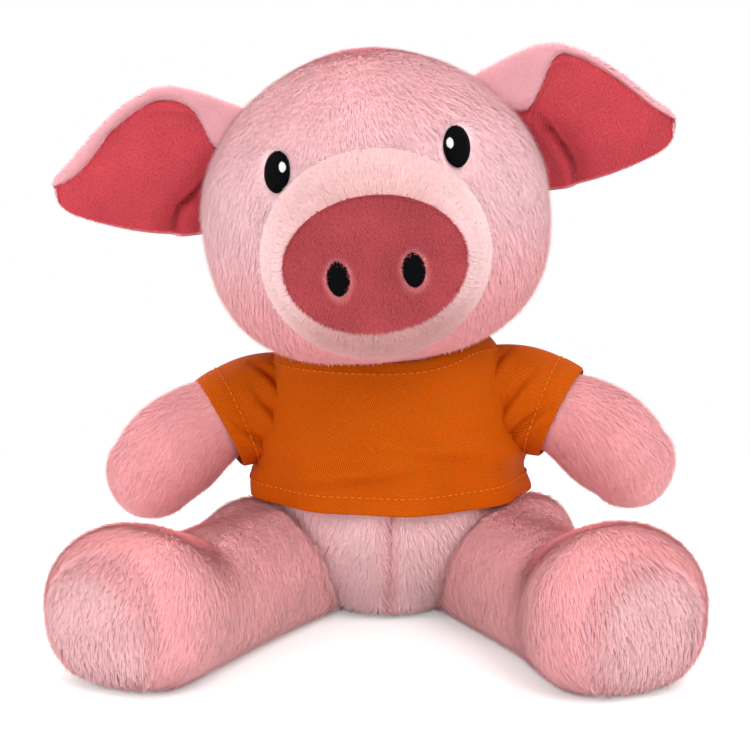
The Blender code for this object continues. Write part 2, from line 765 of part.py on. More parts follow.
def build_arms(pieces):
    for side, sign in SIDES.items():
        pivot = shoulder(side)
        axis = Vector((0, -sign, 0))
        angles = pose_angles(-ARM_DROP_ANGLE, ARM_LIFT_ANGLE)
        fit = (arm_form, side, pivot, ARM_ROOT_RADIUS, axis, angles)
        along = arm_point(side, 0.0)[1]
        half_mouth = ARM_ROOT_RADIUS / 2
        mouth = rod(pivot, -along, Vector((0, 1, 0)), half_mouth, half_mouth, OVERRUN, LIMB_FACETS)
        pieces["arm_shell_" + side] = minus(limb_body(*fit, 0.0), limb_body(*fit, SKIN), mouth)
        pieces["arm_stuffing_" + side] = limb_body(*fit, SKIN + SEAM_GAP)


def build_legs(pieces):
    floor = side_block((0, 0, -1), 0.0)
    for side, sign in SIDES.items():
        pivot = hip(side)
        axis = Vector((0, 0, sign))
        angles = pose_angles(-LEG_CLOSE_ANGLE, LEG_SPREAD_ANGLE)
        fit = (leg_form, side, pivot, LEG_RADIUS, axis, angles)
        along = leg_along(side)
        across = along.cross(Vector((0, 0, 1)))
        half_height = leg_half(1.0)[1]
        start = Vector((pivot.x, pivot.y, half_height - FLOOR_CUT))
        start += along * (LEG_LENGTH - 2 * (SOLE_CROWN + SKIN))
        sole_fit = (start, along, across, SOLE_WIDTH / 2, SOLE_HEIGHT / 2, OVERRUN, BALL_FACETS)
        mouth = rod(pivot, -along, across, LEG_RADIUS / 2, LEG_RADIUS / 2, OVERRUN, BALL_FACETS)
        shell = minus(limb_body(*fit, 0.0), limb_body(*fit, SKIN), floor, mouth)
        pieces["leg_shell_" + side] = minus(shell, rod(*sole_fit, grow=SEAM_GAP / 2))
        sole = minus(leg_form(side), leg_form(side, -SKIN), floor)
        pieces["foot_sole_" + side] = within(sole, rod(*sole_fit, grow=-SEAM_GAP / 2))
        pieces["leg_stuffing_" + side] = limb_body(*fit, SKIN + SEAM_GAP)


# Tail

def tail_root():
    return Vector((0, torso_half(TAIL_HEIGHT)[1], TAIL_HEIGHT))


def tail_point(share):
    """The tail's centre line, from inside the seam to its tip."""
    knots = list(range(len(TAIL_ROUTE_SHARES)))
    points = [Vector(shares) for shares in TAIL_ROUTE_SHARES]
    across, out, up = curve_value(points, knots, share * knots[-1])
    return tail_root() + Vector((across * TAIL_CURL_RADIUS, out * TAIL_REACH, up * TAIL_CURL_RADIUS))


def build_tail(pieces):
    path, radii = [], []
    centres = [tail_point(i / TAIL_RINGS) for i in range(TAIL_RINGS + 1)]
    across = Vector((1, 0, 0))
    for i, centre in enumerate(centres):
        along = (centres[min(i + 1, len(centres) - 1)] - centres[max(i - 1, 0)]).normalized()
        across = (across - along * across.dot(along)).normalized()
        path.append((centre, along, across))
        radius = TAIL_RADIUS * (1 - (1 - TAIL_TIP_SHARE) * i / len(centres))
        radii.append((radius, radius))
    tip_centre, tip_along, tip_side = path[-1]
    tip = radii[-1][0]
    for reach, size in cap_rings(tip, TIP_ANGLES):
        path.append((tip_centre + tip_along * reach, tip_along, tip_side))
        radii.append((size, size))
    tail = skin_over("tail", limb_rings(path, radii, TAIL_FACETS))
    for angle in (-TAIL_WAG_ANGLE, TAIL_WAG_ANGLE):
        minus(tail, turned(torso_form(SEAM_GAP), tail_root(), Vector((0, 0, 1)), angle))
    pieces["tail"] = tail


# Shirt

def hem_height():
    return TORSO_HEIGHT - SHIRT_NECK_DROP - SHIRT_LENGTH


def shirt_top(angle):
    """The neck edge, which dips at the front."""
    return TORSO_HEIGHT - SHIRT_NECK_DROP - SHIRT_NECK_DIP * max(0.0, -math.sin(angle)) ** 2


def shirt_point(angle, rise, lift):
    """A point of the shirt; rise goes from the hem to the neck, lift outwards from the inner face."""
    height = hem_height() + (shirt_top(angle) - hem_height()) * rise
    half_width, half_depth = torso_half(height)
    ease = SHIRT_HEM_EASE + (SHIRT_NECK_EASE - SHIRT_HEM_EASE) * rise**2
    fold = SHIRT_FOLD_DEPTH * (1 - rise) ** 2 * (1 + math.cos(SHIRT_FOLDS * angle))
    out = ease + fold + lift
    return Vector(((half_width + out) * math.cos(angle), (half_depth + out) * math.sin(angle), height))


def spread(start, end, count):
    """Angles at even steps, both ends among them."""
    return [start + (end - start) * i / count for i in range(count + 1)]


def shirt_rises():
    """The rows that all the shirt's pieces share; the closure's strips end one row short of both edges."""
    margin = CLOSURE_MARGIN / SHIRT_LENGTH
    return [0.0, *spread(margin, 1.0 - margin, SHIRT_ROWS), 1.0]


def cloth_panel(name, angles, rises, lift, cloth=KNIT):
    """A closed sheet of the shirt, with columns at the given angles and rows at the given rises."""
    bm = bmesh.new()
    faces = []
    columns, rows = len(angles) - 1, len(rises) - 1
    for outer in (0.0, cloth):
        grid = []
        for rise in rises:
            grid.append([bm.verts.new(shirt_point(angle, rise, lift(angle) + outer)) for angle in angles])
        faces.append(grid)
    inner, outer = faces
    for grid in faces:
        for row in range(rows):
            for column in range(columns):
                bm.faces.new((grid[row][column], grid[row][column + 1],
                              grid[row + 1][column + 1], grid[row + 1][column]))
    border = [(0, c) for c in range(columns)] + [(r, columns) for r in range(rows)]
    border += [(rows, c) for c in range(columns, 0, -1)] + [(r, 0) for r in range(rows, 0, -1)]
    for (r0, c0), (r1, c1) in zip(border, border[1:] + border[:1]):
        bm.faces.new((inner[r0][c0], inner[r1][c1], outer[r1][c1], outer[r0][c0]))
    face_outwards(bm)
    return as_object(name, bm)


def closure_lift():
    return KNIT + 2 * CLOSURE_CLOTH + 3 * SEAM_GAP


def closure_angle(distance):
    """The angle at the back that lies a distance from the middle, along the hem."""
    return distance / (torso_half(hem_height())[0] + SHIRT_HEM_EASE)


def sleeve_form(side, start, end, lift):
    """The sleeve's inner or outer face, as a solid; it rests on the arm and hangs slack below it."""
    rings = []
    for step in range(SLEEVE_RINGS + 1):
        share = start + (end - start) * step / SLEEVE_RINGS
        centre, along = arm_point(side, share)
        across = (Vector((0, 1, 0)) - along * along.y).normalized()
        up = along.cross(across)
        slack = SLEEVE_ROOT_EASE + (SLEEVE_EASE - SLEEVE_ROOT_EASE) * min(1.0, max(0.0, share / CUFF_SHARE))
        centre.z -= slack - SEAM_GAP
        size = arm_radius(share) + slack + lift
        depth = SLEEVE_FOLD_DEPTH * math.sin(math.pi * min(1.0, max(0.0, share)))

        def fold(angle, depth=depth):
            return depth * (1 + math.cos(SLEEVE_FOLDS * angle)) / 2

        rings.append(oval(centre, across, up, size, size, BALL_FACETS, fold))
    return skin_over("sleeve_form", rings)


def shirt_core():
    """The space inside the shirt's body."""
    rings = []
    for row in range(-1, SHIRT_ROWS + 2):
        rise = row / SHIRT_ROWS
        ring = []
        for column in range(4 * SHIRT_COLUMNS):
            angle = 2.0 * math.pi * column / (4 * SHIRT_COLUMNS)
            point = shirt_point(angle, min(1.0, max(0.0, rise)), 0.0)
            if row < 0 or row > SHIRT_ROWS:
                point.z += math.copysign(SHIRT_NECK_DIP, row)
            ring.append(point)
        rings.append(ring)
    ends = [sum(ring, Vector()) / len(ring) for ring in (rings[0], rings[-1])]
    return skin_over("shirt_core", [[ends[0]], *rings, [ends[1]]])


def build_shirt(pieces):
    seam = SEAM_GAP / 2 / torso_half(hem_height())[0]
    overlap = closure_angle(CLOSURE_OVERLAP)
    half = closure_angle(CLOSURE_WIDTH / 2)
    middle = math.pi / 2
    ramp_end = middle - overlap
    ramp_start = ramp_end - overlap
    tape = [middle - half, middle, middle + half]

    def flat(angle):
        return 0.0

    def flap(angle):
        return closure_lift() * min(1.0, max(0.0, (angle - ramp_start) / (ramp_end - ramp_start)))

    front = spread(-math.pi + seam, -seam, 2 * SHIRT_COLUMNS)
    under = [middle - overlap, *tape, *spread(middle + overlap, math.pi - seam, SHIRT_COLUMNS // 2 + 1)]
    over = [*spread(seam, ramp_start, SHIRT_COLUMNS // 2 + 1), ramp_end, *tape, middle + overlap]
    rises = shirt_rises()
    pieces["shirt_front"] = cloth_panel("front", front, rises, flat)
    pieces["shirt_back_right"] = cloth_panel("right", under, rises, flat)
    pieces["shirt_back_left"] = cloth_panel("left", over, rises, flap)
    first = KNIT + SEAM_GAP
    second = first + CLOSURE_CLOTH + SEAM_GAP
    for name, lift in (("closure_loop_strip", first), ("closure_hook_strip", second)):
        pieces[name] = cloth_panel(name, tape, rises[1:-1], lambda angle, lift=lift: lift, CLOSURE_CLOTH)
    head = head_form(SHIRT_HEAD_GAP)
    core = shirt_core()
    for side, sign in SIDES.items():
        start = SLEEVE_START_SHARE
        outer = sleeve_form(side, start, CUFF_SHARE, KNIT)
        inner = sleeve_form(side, start - SLEEVE_OVERRUN_SHARE, CUFF_SHARE + SLEEVE_OVERRUN_SHARE, 0.0)
        pieces["shirt_sleeve_" + side] = minus(outer, inner, arm_form(side, SEAM_GAP), core, head)
        pivot = shoulder(side)
        cutters = [sleeve_form(side, start, CUFF_SHARE, KNIT + SEAM_GAP)]
        for angle in pose_angles(-ARM_DROP_ANGLE, ARM_LIFT_ANGLE):
            cutters.append(turned(arm_form(side, SEAM_GAP), pivot, Vector((0, -sign, 0)), angle))
        for name in ("shirt_front", "shirt_back_" + side):
            minus(pieces[name], *cutters)
    for name in ("shirt_front", "shirt_back_left", "shirt_back_right"):
        minus(pieces[name], head)


# Assembly

PIECE_FINISHES = {
    "torso_panel": "belly_pile", "seat_panel": "belly_pile", "torso_stuffing": "fibre",
    "pellet_bag": "pellet_cloth", "head_front": "pink_pile", "head_back": "pink_pile",
    "head_stuffing": "fibre", "muzzle_band": "pale_pile", "snout_disc": "coral_plush",
    "nostril": "black_thread", "eye_highlight": "white_thread", "eye": "black_thread",
    "ear_back": "pink_pile", "ear_lining": "ear_plush", "arm_shell": "pink_pile",
    "arm_stuffing": "fibre", "leg_shell": "pink_pile", "leg_stuffing": "fibre",
    "foot_sole": "sole_pile", "tail": "pink_pile", "closure": "hook_tape", "shirt": "orange_knit",
}


def pivot_empties():
    """An empty on each joint's axis, with the pieces that turn on it."""
    pivots = {"head": head_matrix(), "tail": Matrix.Translation(tail_root())}
    for side in SIDES:
        pivots["ear_" + side] = head_matrix() @ Matrix.Translation(ear_root(side))
        pivots["arm_" + side] = Matrix.Translation(shoulder(side))
        pivots["leg_" + side] = Matrix.Translation(hip(side))
    empties = {}
    for name, matrix in pivots.items():
        empty = bpy.data.objects.new(name + "_pivot", None)
        bpy.context.scene.collection.objects.link(empty)
        if name.startswith("ear"):
            empty.parent = empties["head"]
            empty.matrix_local = empties["head"].matrix_local.inverted() @ matrix
        else:
            empty.matrix_local = matrix
        empties[name] = empty
    bpy.context.view_layer.update()
    return empties


def pivot_of(name):
    """The joint that carries a piece, or nothing for the torso and the shirt's body."""
    side = name.rsplit("_", 1)[-1]
    if name.startswith(("head", "muzzle", "snout", "nostril", "eye")):
        return "head"
    if name.startswith("ear"):
        return "ear_" + side
    if name.startswith(("arm", "shirt_sleeve")):
        return "arm_" + side
    if name.startswith(("leg", "foot")):
        return "leg_" + side
    return "tail" if name == "tail" else None


def merge_flat_faces(item):
    """Join the triangles that lie in one plane, then split them again as few as they need."""
    bm = bmesh.new()
    bm.from_mesh(item.data)
    bmesh.ops.remove_doubles(bm, verts=bm.verts, dist=WELD)
    flat = math.radians(FLAT_ANGLE)
    bmesh.ops.dissolve_limit(
        bm, angle_limit=flat, verts=bm.verts, edges=bm.edges, use_dissolve_boundaries=False
    )
    bmesh.ops.triangulate(bm, faces=bm.faces)
    bm.to_mesh(item.data)
    bm.free()


def dress(pieces):
    """Name the pieces, give each its finish and hang it on its pivot."""
    empties = pivot_empties()
    for name, item in pieces.items():
        item.name = name
        item.data.name = name
        merge_flat_faces(item)
        finish = next(PIECE_FINISHES[key] for key in PIECE_FINISHES if name.startswith(key))
        item.data.materials.clear()
        item.data.materials.append(finish_material(finish))
        item.data.shade_smooth()
        item.data.set_sharp_from_angle(angle=math.radians(SHARP_ANGLE))
        pivot = pivot_of(name)
        if pivot:
            item.data.transform(empties[pivot].matrix_world.inverted())
            item.parent = empties[pivot]


def build():
    clear_scene()
    pieces = {}
    build_torso(pieces)
    build_head(pieces)
    build_ears(pieces)
    build_arms(pieces)
    build_legs(pieces)
    build_tail(pieces)
    build_shirt(pieces)
    kept = set(pieces.values())
    for item in list(bpy.data.objects):
        if item not in kept:
            bpy.data.objects.remove(item, do_unlink=True)
    dress(pieces)


build()
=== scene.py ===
"""The looks of a seated plush pig in a knit shirt, made around its solids.

Metres; +Z up, the toy faces -Y, its own left is at +X. Every piece is made in the row frame.
"""

import math

import bmesh
import bpy
import numpy as np
from mathutils import Matrix, Vector
from mathutils.bvhtree import BVHTree


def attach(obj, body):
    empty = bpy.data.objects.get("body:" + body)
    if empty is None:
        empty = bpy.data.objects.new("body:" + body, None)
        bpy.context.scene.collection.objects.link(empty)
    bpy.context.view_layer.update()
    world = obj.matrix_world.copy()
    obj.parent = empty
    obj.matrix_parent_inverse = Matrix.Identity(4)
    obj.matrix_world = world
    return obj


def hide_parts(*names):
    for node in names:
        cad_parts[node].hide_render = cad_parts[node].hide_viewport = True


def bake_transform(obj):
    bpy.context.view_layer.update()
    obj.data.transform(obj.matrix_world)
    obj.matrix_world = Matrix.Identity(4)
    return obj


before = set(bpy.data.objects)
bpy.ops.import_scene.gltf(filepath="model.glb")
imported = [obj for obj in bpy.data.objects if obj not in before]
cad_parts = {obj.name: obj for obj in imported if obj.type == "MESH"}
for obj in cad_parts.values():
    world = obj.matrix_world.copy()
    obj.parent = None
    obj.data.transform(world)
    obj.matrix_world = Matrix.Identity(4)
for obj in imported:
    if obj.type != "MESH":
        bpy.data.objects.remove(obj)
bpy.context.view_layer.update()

MM = 0.001
SIDES = {"left": 1.0, "right": -1.0}
UP = np.array((0.0, 0.0, 1.0))

# Real sizes, the same as the solids'
TORSO_HEIGHT, TORSO_WIDTH, TORSO_DEPTH = 116 * MM, 97 * MM, 86 * MM
TORSO_OUTLINE = (
    (0.0, 0.0), (0.34, 0.012), (0.62, 0.065), (0.84, 0.165), (0.97, 0.29), (1.0, 0.41),
    (0.97, 0.54), (0.9, 0.67), (0.79, 0.79), (0.63, 0.89), (0.36, 0.97), (0.0, 1.0),
)
FLOOR_CUT = 0.5 * MM
HEAD_WIDTH, HEAD_HEIGHT = 129 * MM, 115 * MM
HEAD_CENTRE = (-5.6 * MM, -8 * MM, 157 * MM)
HEAD_ROLL, HEAD_YAW = -7.0, -0.9
CROWN_POWER, CHEEK_POWER = 1.86, 2.7
MUZZLE_WIDTH, MUZZLE_HEIGHT, MUZZLE_REACH, MUZZLE_DROP = 78 * MM, 72 * MM, 88 * MM, 12 * MM
MUZZLE_OUTLINE = (
    (0.0, 0.0, 0.2), (0.99, 0.97, 0.22), (1.0, 1.0, 0.5), (0.99, 0.97, 0.72), (0.94, 0.87, 0.86),
    (0.875, 0.755, 0.938), (0.8, 0.65, 0.975), (0.5, 0.4, 0.995), (0.0, 0.0, 1.0),
)
SNOUT_WIDTH, SNOUT_HEIGHT = 62.5 * MM, 46.5 * MM
EYE_WIDTH, EYE_HEIGHT, EYE_SPACING, EYE_SHIFT = 9.4 * MM, 14.2 * MM, 64 * MM, 0.6 * MM
EYE_RISE = {"left": 21.2 * MM, "right": 20 * MM}
HIGHLIGHT_WIDTH, HIGHLIGHT_IN, HIGHLIGHT_UP = 3.0 * MM, 2.2 * MM, 1.6 * MM
NOSTRIL_WIDTH, NOSTRIL_HEIGHT, NOSTRIL_SPACING, NOSTRIL_DROP = 7.8 * MM, 11.2 * MM, 25.8 * MM, 3.5 * MM
EAR_LENGTH, EAR_HEIGHT, EAR_CUP, EAR_SWEEP = 61 * MM, 54 * MM, 8 * MM, 5 * MM
EAR_CLOTH = 2.6 * MM
EAR_ROOT = {"left": (54.5 * MM, 2 * MM, 23.5 * MM), "right": (-58 * MM, 2 * MM, 22 * MM)}
EAR_DROOP = {"left": 6.0, "right": 1.0}
# Unlike the solids' outlines, these reach on into the head, and the upper one starts lower
EAR_UPPER = (
    (-0.34, 0.5), (-0.2, 0.68), (0.02, 0.93), (0.18, 1.05), (0.36, 1.0), (0.54, 0.8), (0.7, 0.55),
    (0.83, 0.31), (0.92, 0.17), (0.975, 0.09), (1.0, 0.0),
)
EAR_LOWER = (
    (-0.34, 0.7), (-0.2, 0.82), (0.02, 0.92), (0.18, 0.93), (0.36, 0.87), (0.54, 0.76), (0.7, 0.63),
    (0.83, 0.5), (0.92, 0.38), (0.975, 0.22), (1.0, 0.0),
)
ARM_ROOT_RADIUS, ARM_RADIUS = 14 * MM, 18.5 * MM
SHOULDER = (36 * MM, 0.0, 83 * MM)
ARM_BEND = {"left": (31 * MM, -4 * MM, -1 * MM), "right": (30 * MM, -4 * MM, -3 * MM)}
ARM_END = {"left": (54.5 * MM, -15 * MM, -24.5 * MM), "right": (53.5 * MM, -15 * MM, -28 * MM)}
ARM_FULLNESS = ((0.0, 0.0), (0.2, 0.12), (0.4, 0.26), (0.6, 0.62), (0.8, 1.0), (0.93, 0.9), (1.0, 0.65))
LEG_LENGTH, LEG_RADIUS, SETTLED_POWER = 126 * MM, 22 * MM, 2.8
FOOT_WIDTH, FOOT_HEIGHT = 57 * MM, 57 * MM
HIP_OUT, HIP_FORWARD = 32 * MM, 8 * MM
LEG_HEADING = {"left": 24.5, "right": 31.5}
LEG_FOOT = (
    (0.0, 0.0), (0.2, 0.0), (0.4, 0.02), (0.55, 0.12), (0.68, 0.45), (0.79, 0.85), (0.88, 1.0),
    (0.95, 0.93), (1.0, 0.72),
)
SOLE_WIDTH, SOLE_HEIGHT = 44 * MM, 48 * MM
TAIL_RADIUS, TAIL_TIP, TAIL_CURL, TAIL_REACH, TAIL_HEIGHT = 3.3 * MM, 0.6, 5.6 * MM, 15 * MM, 31 * MM
TAIL_ROUTE = (
    (0.0, -0.2, 0.0), (0.0, 0.2, 0.0), (0.45, 0.46, 0.15), (1.0, 0.58, 0.9), (0.55, 0.69, 1.8),
    (-0.5, 0.77, 1.75), (-0.95, 0.85, 0.8), (-0.2, 0.93, 0.05), (0.75, 1.0, 0.4),
)
KNIT = 1.2 * MM
NECK_DROP, SHIRT_LENGTH, NECK_DIP = 15 * MM, 55 * MM, 2 * MM
HEM_EASE, NECK_EASE, FOLD_DEPTH, FOLDS = 3.2 * MM, 9 * MM, 1.1 * MM, 9
CLOSURE_OVERLAP, CLOSURE_WIDTH, CLOSURE_CLOTH, CLOSURE_MARGIN = 8 * MM, 10 * MM, 0.9 * MM, 3 * MM
SLEEVE_ROOT_EASE, CUFF = 3.4 * MM, 0.52
SEAM_GAP = 0.3 * MM

# The looks' own values, where they differ from the solids or show what those don't have
EYE_TILT, PADDED = {"left": 0.0, "right": 0.8 * MM}, 1.08
COLLAR_RISE = {"side": 4 * MM, "front": 2.6 * MM, "back": 2.4 * MM, "corner": 3.2 * MM}
THIGH_BULGE, THIGH_PLACE, THIGH_SPREAD = {"left": 11 * MM, "right": 7.5 * MM}, 20 * MM, 24 * MM
LEG_FULLER, ANKLE_DIP = {"left": -0.6 * MM, "right": 2.2 * MM}, 1.8 * MM
THIGH_TURN, THIGH_SWEEP = math.radians(42), math.radians(26)
ROUND_START, ROUND_END = 0.86, 1.03
FOOT_FUR, ARM_TINT = 3.4 * MM, 0.8
FUR_CROWN = {"left": -0.4 * MM, "right": 0.8 * MM}
SLEEVE_CREASES = {
    "left": ((-1.3, 0.1, 0.7, 0.62), (-1.0, 0.4, 0.15, 0.9), (-0.5, 0.0, 1.3, 0.35), (2.2, 0.1, 3.0, 0.6)),
    "right": (
        (-1.2, 0.05, 0.35, 0.55), (-1.1, 0.45, -0.1, 0.85), (-0.4, 0.05, 1.2, 0.5), (2.4, 0.1, 3.0, 0.7),
    ),
}
SLEEVE_EASE = 1.0 * MM
COMB_LEAST, SHORTEST = 0.45, 0.4
BELLY_SAG = 3.5 * MM
SLEEVE_LIFT = {"left": 1.3 * MM, "right": -1.2 * MM}
ARM_FUR_LIFT = {"left": 1.4 * MM, "right": 0.9 * MM}
SLEEVE_LENGTH = 36 * MM
PILE_GAP, ARM_LOWEST = 1.6 * MM, -12.0
FLOOR_GAP = 0.1 * MM
PILE_LENGTH = {
    "head": 4.4 * MM, "muzzle": 3.8 * MM, "snout": 1.5 * MM, "belly": 4.4 * MM, "arm": 4.4 * MM,
    "leg": 4.2 * MM, "sole": 5.0 * MM, "lining": 1.15 * MM, "tail": 1.9 * MM,
}
# Fibres for each square millimetre
PILE_DENSITY = {
    "front": 5.6, "back": 2.8, "muzzle": 7.5, "snout": 13.0, "belly": 6.0, "arm": 6.0, "leg": 5.0,
    "sole": 7.0, "ear": 6.0, "lining": 12.0, "tail": 9.0,
}
FRONT_FLAT, BACK_FLAT, SLEEVE_FLAT = (0.165, 0.055), (0.09, 0.055), (0.115, 0.036)
HEM_LEVEL, NECK_HEM_LEVEL, CUFF_LEVEL, STITCH_PITCH = 0.115, 0.925, 0.79, 2.66 * MM
CAMERA_PLACE, CAMERA_TILT, CAMERA_LENS, CAMERA_SENSOR = (-0.0054, -0.837, 0.2376), 80.0, 106.0, 36.0
LIT_POINT, WORLD_LIGHT = (0.0, -0.02, 0.1), 0.72
LIGHTS = (
    ("key", (0.55, -0.9, 0.95), 0.9, 10.5), ("fill", (-0.9, -0.8, 0.45), 0.9, 5.0),
    ("top", (-0.05, 0.25, 1.1), 0.8, 6.5), ("behind", (-0.45, 0.85, 0.6), 0.8, 4.0),
)


# Curves and tables

def curve_value(points, knots, place):
    last = len(knots) - 1
    i = max(0, min(last - 1, sum(1 for knot in knots if knot <= place) - 1))
    before, after = max(0, i - 1), min(last, i + 2)
    width = knots[i + 1] - knots[i]
    near, far = points[i], points[i + 1]
    slope_near = (far - points[before]) / (knots[i + 1] - knots[before])
    slope_far = (points[after] - near) / (knots[after] - knots[i])
    t = (place - knots[i]) / width
    return (
        near * (2 * t**3 - 3 * t**2 + 1) + slope_near * (width * (t**3 - 2 * t**2 + t))
        + far * (-2 * t**3 + 3 * t**2) + slope_far * (width * (t**3 - t**2))
    )


def read_table(table, place):
    return curve_value([value for _, value in table], [knot for knot, _ in table], place)


def outline(shares, steps):
    """Points along an outline that closes on its axis at both ends."""
    points = [np.array(share, float) for share in shares]
    flip = np.array([-1.0, -1.0, 1.0] if len(points[0]) == 3 else [-1.0, 1.0])
    run = [points[1] * flip, *points, points[-2] * flip]
    knots = list(range(-1, len(points) + 1))
    return np.array([curve_value(run, knots, step * (len(points) - 1) / steps) for step in range(steps + 1)])


TORSO_CURVE = outline(TORSO_OUTLINE, 120)
MUZZLE_CURVE = outline(MUZZLE_OUTLINE, 120)
MUZZLE_BODY = MUZZLE_CURVE[np.argmax(MUZZLE_CURVE[:, 0] > 0.9):]


def smooth(low, high, value):
    t = np.clip((value - low) / (high - low), 0.0, 1.0)
    return t * t * (3 - 2 * t)


def unit(vectors):
    return vectors / np.maximum(np.linalg.norm(vectors, axis=-1, keepdims=True), 1e-9)


def as_points(matrix, points):
    grid = np.array(matrix, float)
    return np.asarray(points) @ grid[:3, :3].T + grid[:3, 3]


def head_matrix():
    roll = Matrix.Rotation(math.radians(HEAD_ROLL), 4, "Y")
    return Matrix.Translation(HEAD_CENTRE) @ roll @ Matrix.Rotation(math.radians(HEAD_YAW), 4, "Z")


HEAD_PLACE = head_matrix()
HEAD_BACK = HEAD_PLACE.inverted()
HEAD_TURN = HEAD_PLACE.to_3x3().to_4x4()


# Which points lie inside which form; the value is below 1 inside

def torso_sizes(height):
    level = (np.asarray(height) + FLOOR_CUT) / TORSO_HEIGHT
    share = np.interp(level, TORSO_CURVE[:, 1], TORSO_CURVE[:, 0], left=0.0, right=0.0)
    return share * TORSO_WIDTH / 2, share * TORSO_DEPTH / 2


def in_torso(points, grow=0.0):
    half_width, half_depth = torso_sizes(points[:, 2])
    wide = np.maximum(half_width + grow, 1e-6)
    deep = np.maximum(half_depth + grow, 1e-6)
    return np.hypot(points[:, 0] / wide, points[:, 1] / deep)


def in_head(points, grow=0.0):
    local = as_points(HEAD_BACK, points)
    power = np.where(local[:, 2] > 0, CROWN_POWER, CHEEK_POWER)
    level = np.abs(local[:, 2]) / (HEAD_HEIGHT / 2 + grow)
    round_share = np.hypot(local[:, 0], local[:, 1]) / (HEAD_WIDTH / 2 + grow)
    return (level**power + round_share**power) ** (1 / power)


def in_muzzle(points, grow=0.0):
    local = as_points(HEAD_BACK, points)
    reach = -local[:, 1] / MUZZLE_REACH
    wide = np.interp(reach, MUZZLE_BODY[:, 2], MUZZLE_BODY[:, 0], right=0.0) * MUZZLE_WIDTH / 2 + grow
    high = np.interp(reach, MUZZLE_BODY[:, 2], MUZZLE_BODY[:, 1], right=0.0) * MUZZLE_HEIGHT / 2 + grow
    wide, high = np.maximum(wide, 1e-6), np.maximum(high, 1e-6)
    return np.where(reach < 0.2, 9.0, np.hypot(local[:, 0] / wide, (local[:, 2] + MUZZLE_DROP) / high))


# Skins: meshes over rings of points

def add_object(name, data):
    item = bpy.data.objects.new(name, data)
    bpy.context.scene.collection.objects.link(item)
    return item


def mesh_object(name, points, faces, uv=None):
    mesh = bpy.data.meshes.new(name)
    mesh.from_pydata([tuple(point) for point in points], [], faces)
    mesh.validate()
    if uv is not None:
        layer = mesh.uv_layers.new(name="OFBake")
        layer.data.foreach_set("uv", np.asarray(uv, np.float32).ravel())
    mesh.shade_smooth()
    return add_object(name, mesh)


def face_outwards(item):
    """Turn a closed skin's faces outwards."""
    bm = bmesh.new()
    bm.from_mesh(item.data)
    if bm.calc_volume(signed=True) < 0:
        bmesh.ops.reverse_faces(bm, faces=bm.faces)
        bm.to_mesh(item.data)
    bm.free()
    return item


def keep_part(skin, keep):
    """Leave the faces that have half their points kept, and give the places of the points that stay."""
    bm = bmesh.new()
    bm.from_mesh(skin.data)
    bm.verts.ensure_lookup_table()
    gone = [face for face in bm.faces if sum(bool(keep[v.index]) for v in face.verts) * 2 < len(face.verts)]
    bmesh.ops.delete(bm, geom=gone, context="FACES_KEEP_BOUNDARY")
    left = [v.index for v in bm.verts if v.link_faces]
    bmesh.ops.delete(bm, geom=[v for v in bm.verts if not v.link_faces], context="VERTS")
    bm.to_mesh(skin.data)
    bm.free()
    return left


def skin_over(name, rings, bake_height=0.24):
    """A closed skin over equal rings; its first and last rings close to their middles."""
    rings = [np.asarray(ring, float) for ring in rings]
    count = len(rings[0])
    ends = (rings[0].mean(0), rings[-1].mean(0))
    points = [point for ring in rings for point in ring] + list(ends)
    faces, uv = [], []
    rows = len(rings) - 1
    first_end, last_end = len(points) - 2, len(points) - 1
    tall = bake_height / (rows + 2)
    for row in range(rows):
        low, high = (row + 1) * tall, (row + 2) * tall
        for i in range(count):
            j = (i + 1) % count
            near, far = row * count, (row + 1) * count
            faces.append((near + i, near + j, far + j, far + i))
            uv += [(i / count, low), ((i + 1) / count, low), ((i + 1) / count, high), (i / count, high)]
    for i in range(count):
        j = (i + 1) % count
        far = rows * count
        faces.append((first_end, j, i))
        uv += [((i + 0.5) / count, 0.0), ((i + 1) / count, tall), (i / count, tall)]
        faces.append((last_end, far + i, far + j))
        top = (rows + 1) * tall
        uv += [((i + 0.5) / count, top + tall), (i / count, top), ((i + 1) / count, top)]
    return face_outwards(mesh_object(name, points, faces, uv))


def oval_ring(centre, across, up, half_across, half_up, facets):
    angles = np.linspace(0, 2 * math.pi, facets, endpoint=False)[:, None]
    sideways = np.asarray(across) * np.cos(angles) * half_across
    return np.asarray(centre) + sideways + np.asarray(up) * np.sin(angles) * half_up


def points_of(item):
    points = np.zeros(len(item.data.vertices) * 3)
    item.data.vertices.foreach_get("co", points)
    return points.reshape(-1, 3)


def normals_of(item):
    normals = np.zeros(len(item.data.vertices) * 3)
    item.data.vertices.foreach_get("normal", normals)
    return normals.reshape(-1, 3)


def set_points(item, points):
    item.data.vertices.foreach_set("co", np.asarray(points, float).ravel())
    item.data.update()


def put(item, name, values):
    """Store a number or a vector at every point of a skin."""
    values = np.asarray(values, np.float32)
    if values.ndim == 0:
        values = np.full(len(item.data.vertices), values)
    kind = "FLOAT" if values.ndim == 1 else "FLOAT_VECTOR"
    attribute = item.data.attributes.new(name, kind, "POINT")
    attribute.data.foreach_set("value" if values.ndim == 1 else "vector", values.ravel())


def along_surface(directions, normals):
    """Directions laid flat on the surface, shorter where they mostly point out of it."""
    flat = directions - normals * np.sum(directions * normals, axis=1, keepdims=True)
    return flat / np.maximum(np.linalg.norm(flat, axis=1, keepdims=True), COMB_LEAST)


# Node trees

def wire(tree, source, target):
    tree.links.new(source, target)


def make(tree, kind, values=(), **settings):
    node = tree.nodes.new(kind)
    for key, value in settings.items():
        setattr(node, key, value)
    for key, value in dict(values).items():
        if hasattr(value, "is_output"):
            tree.links.new(value, node.inputs[key])
        else:
            node.inputs[key].default_value = value
    return node


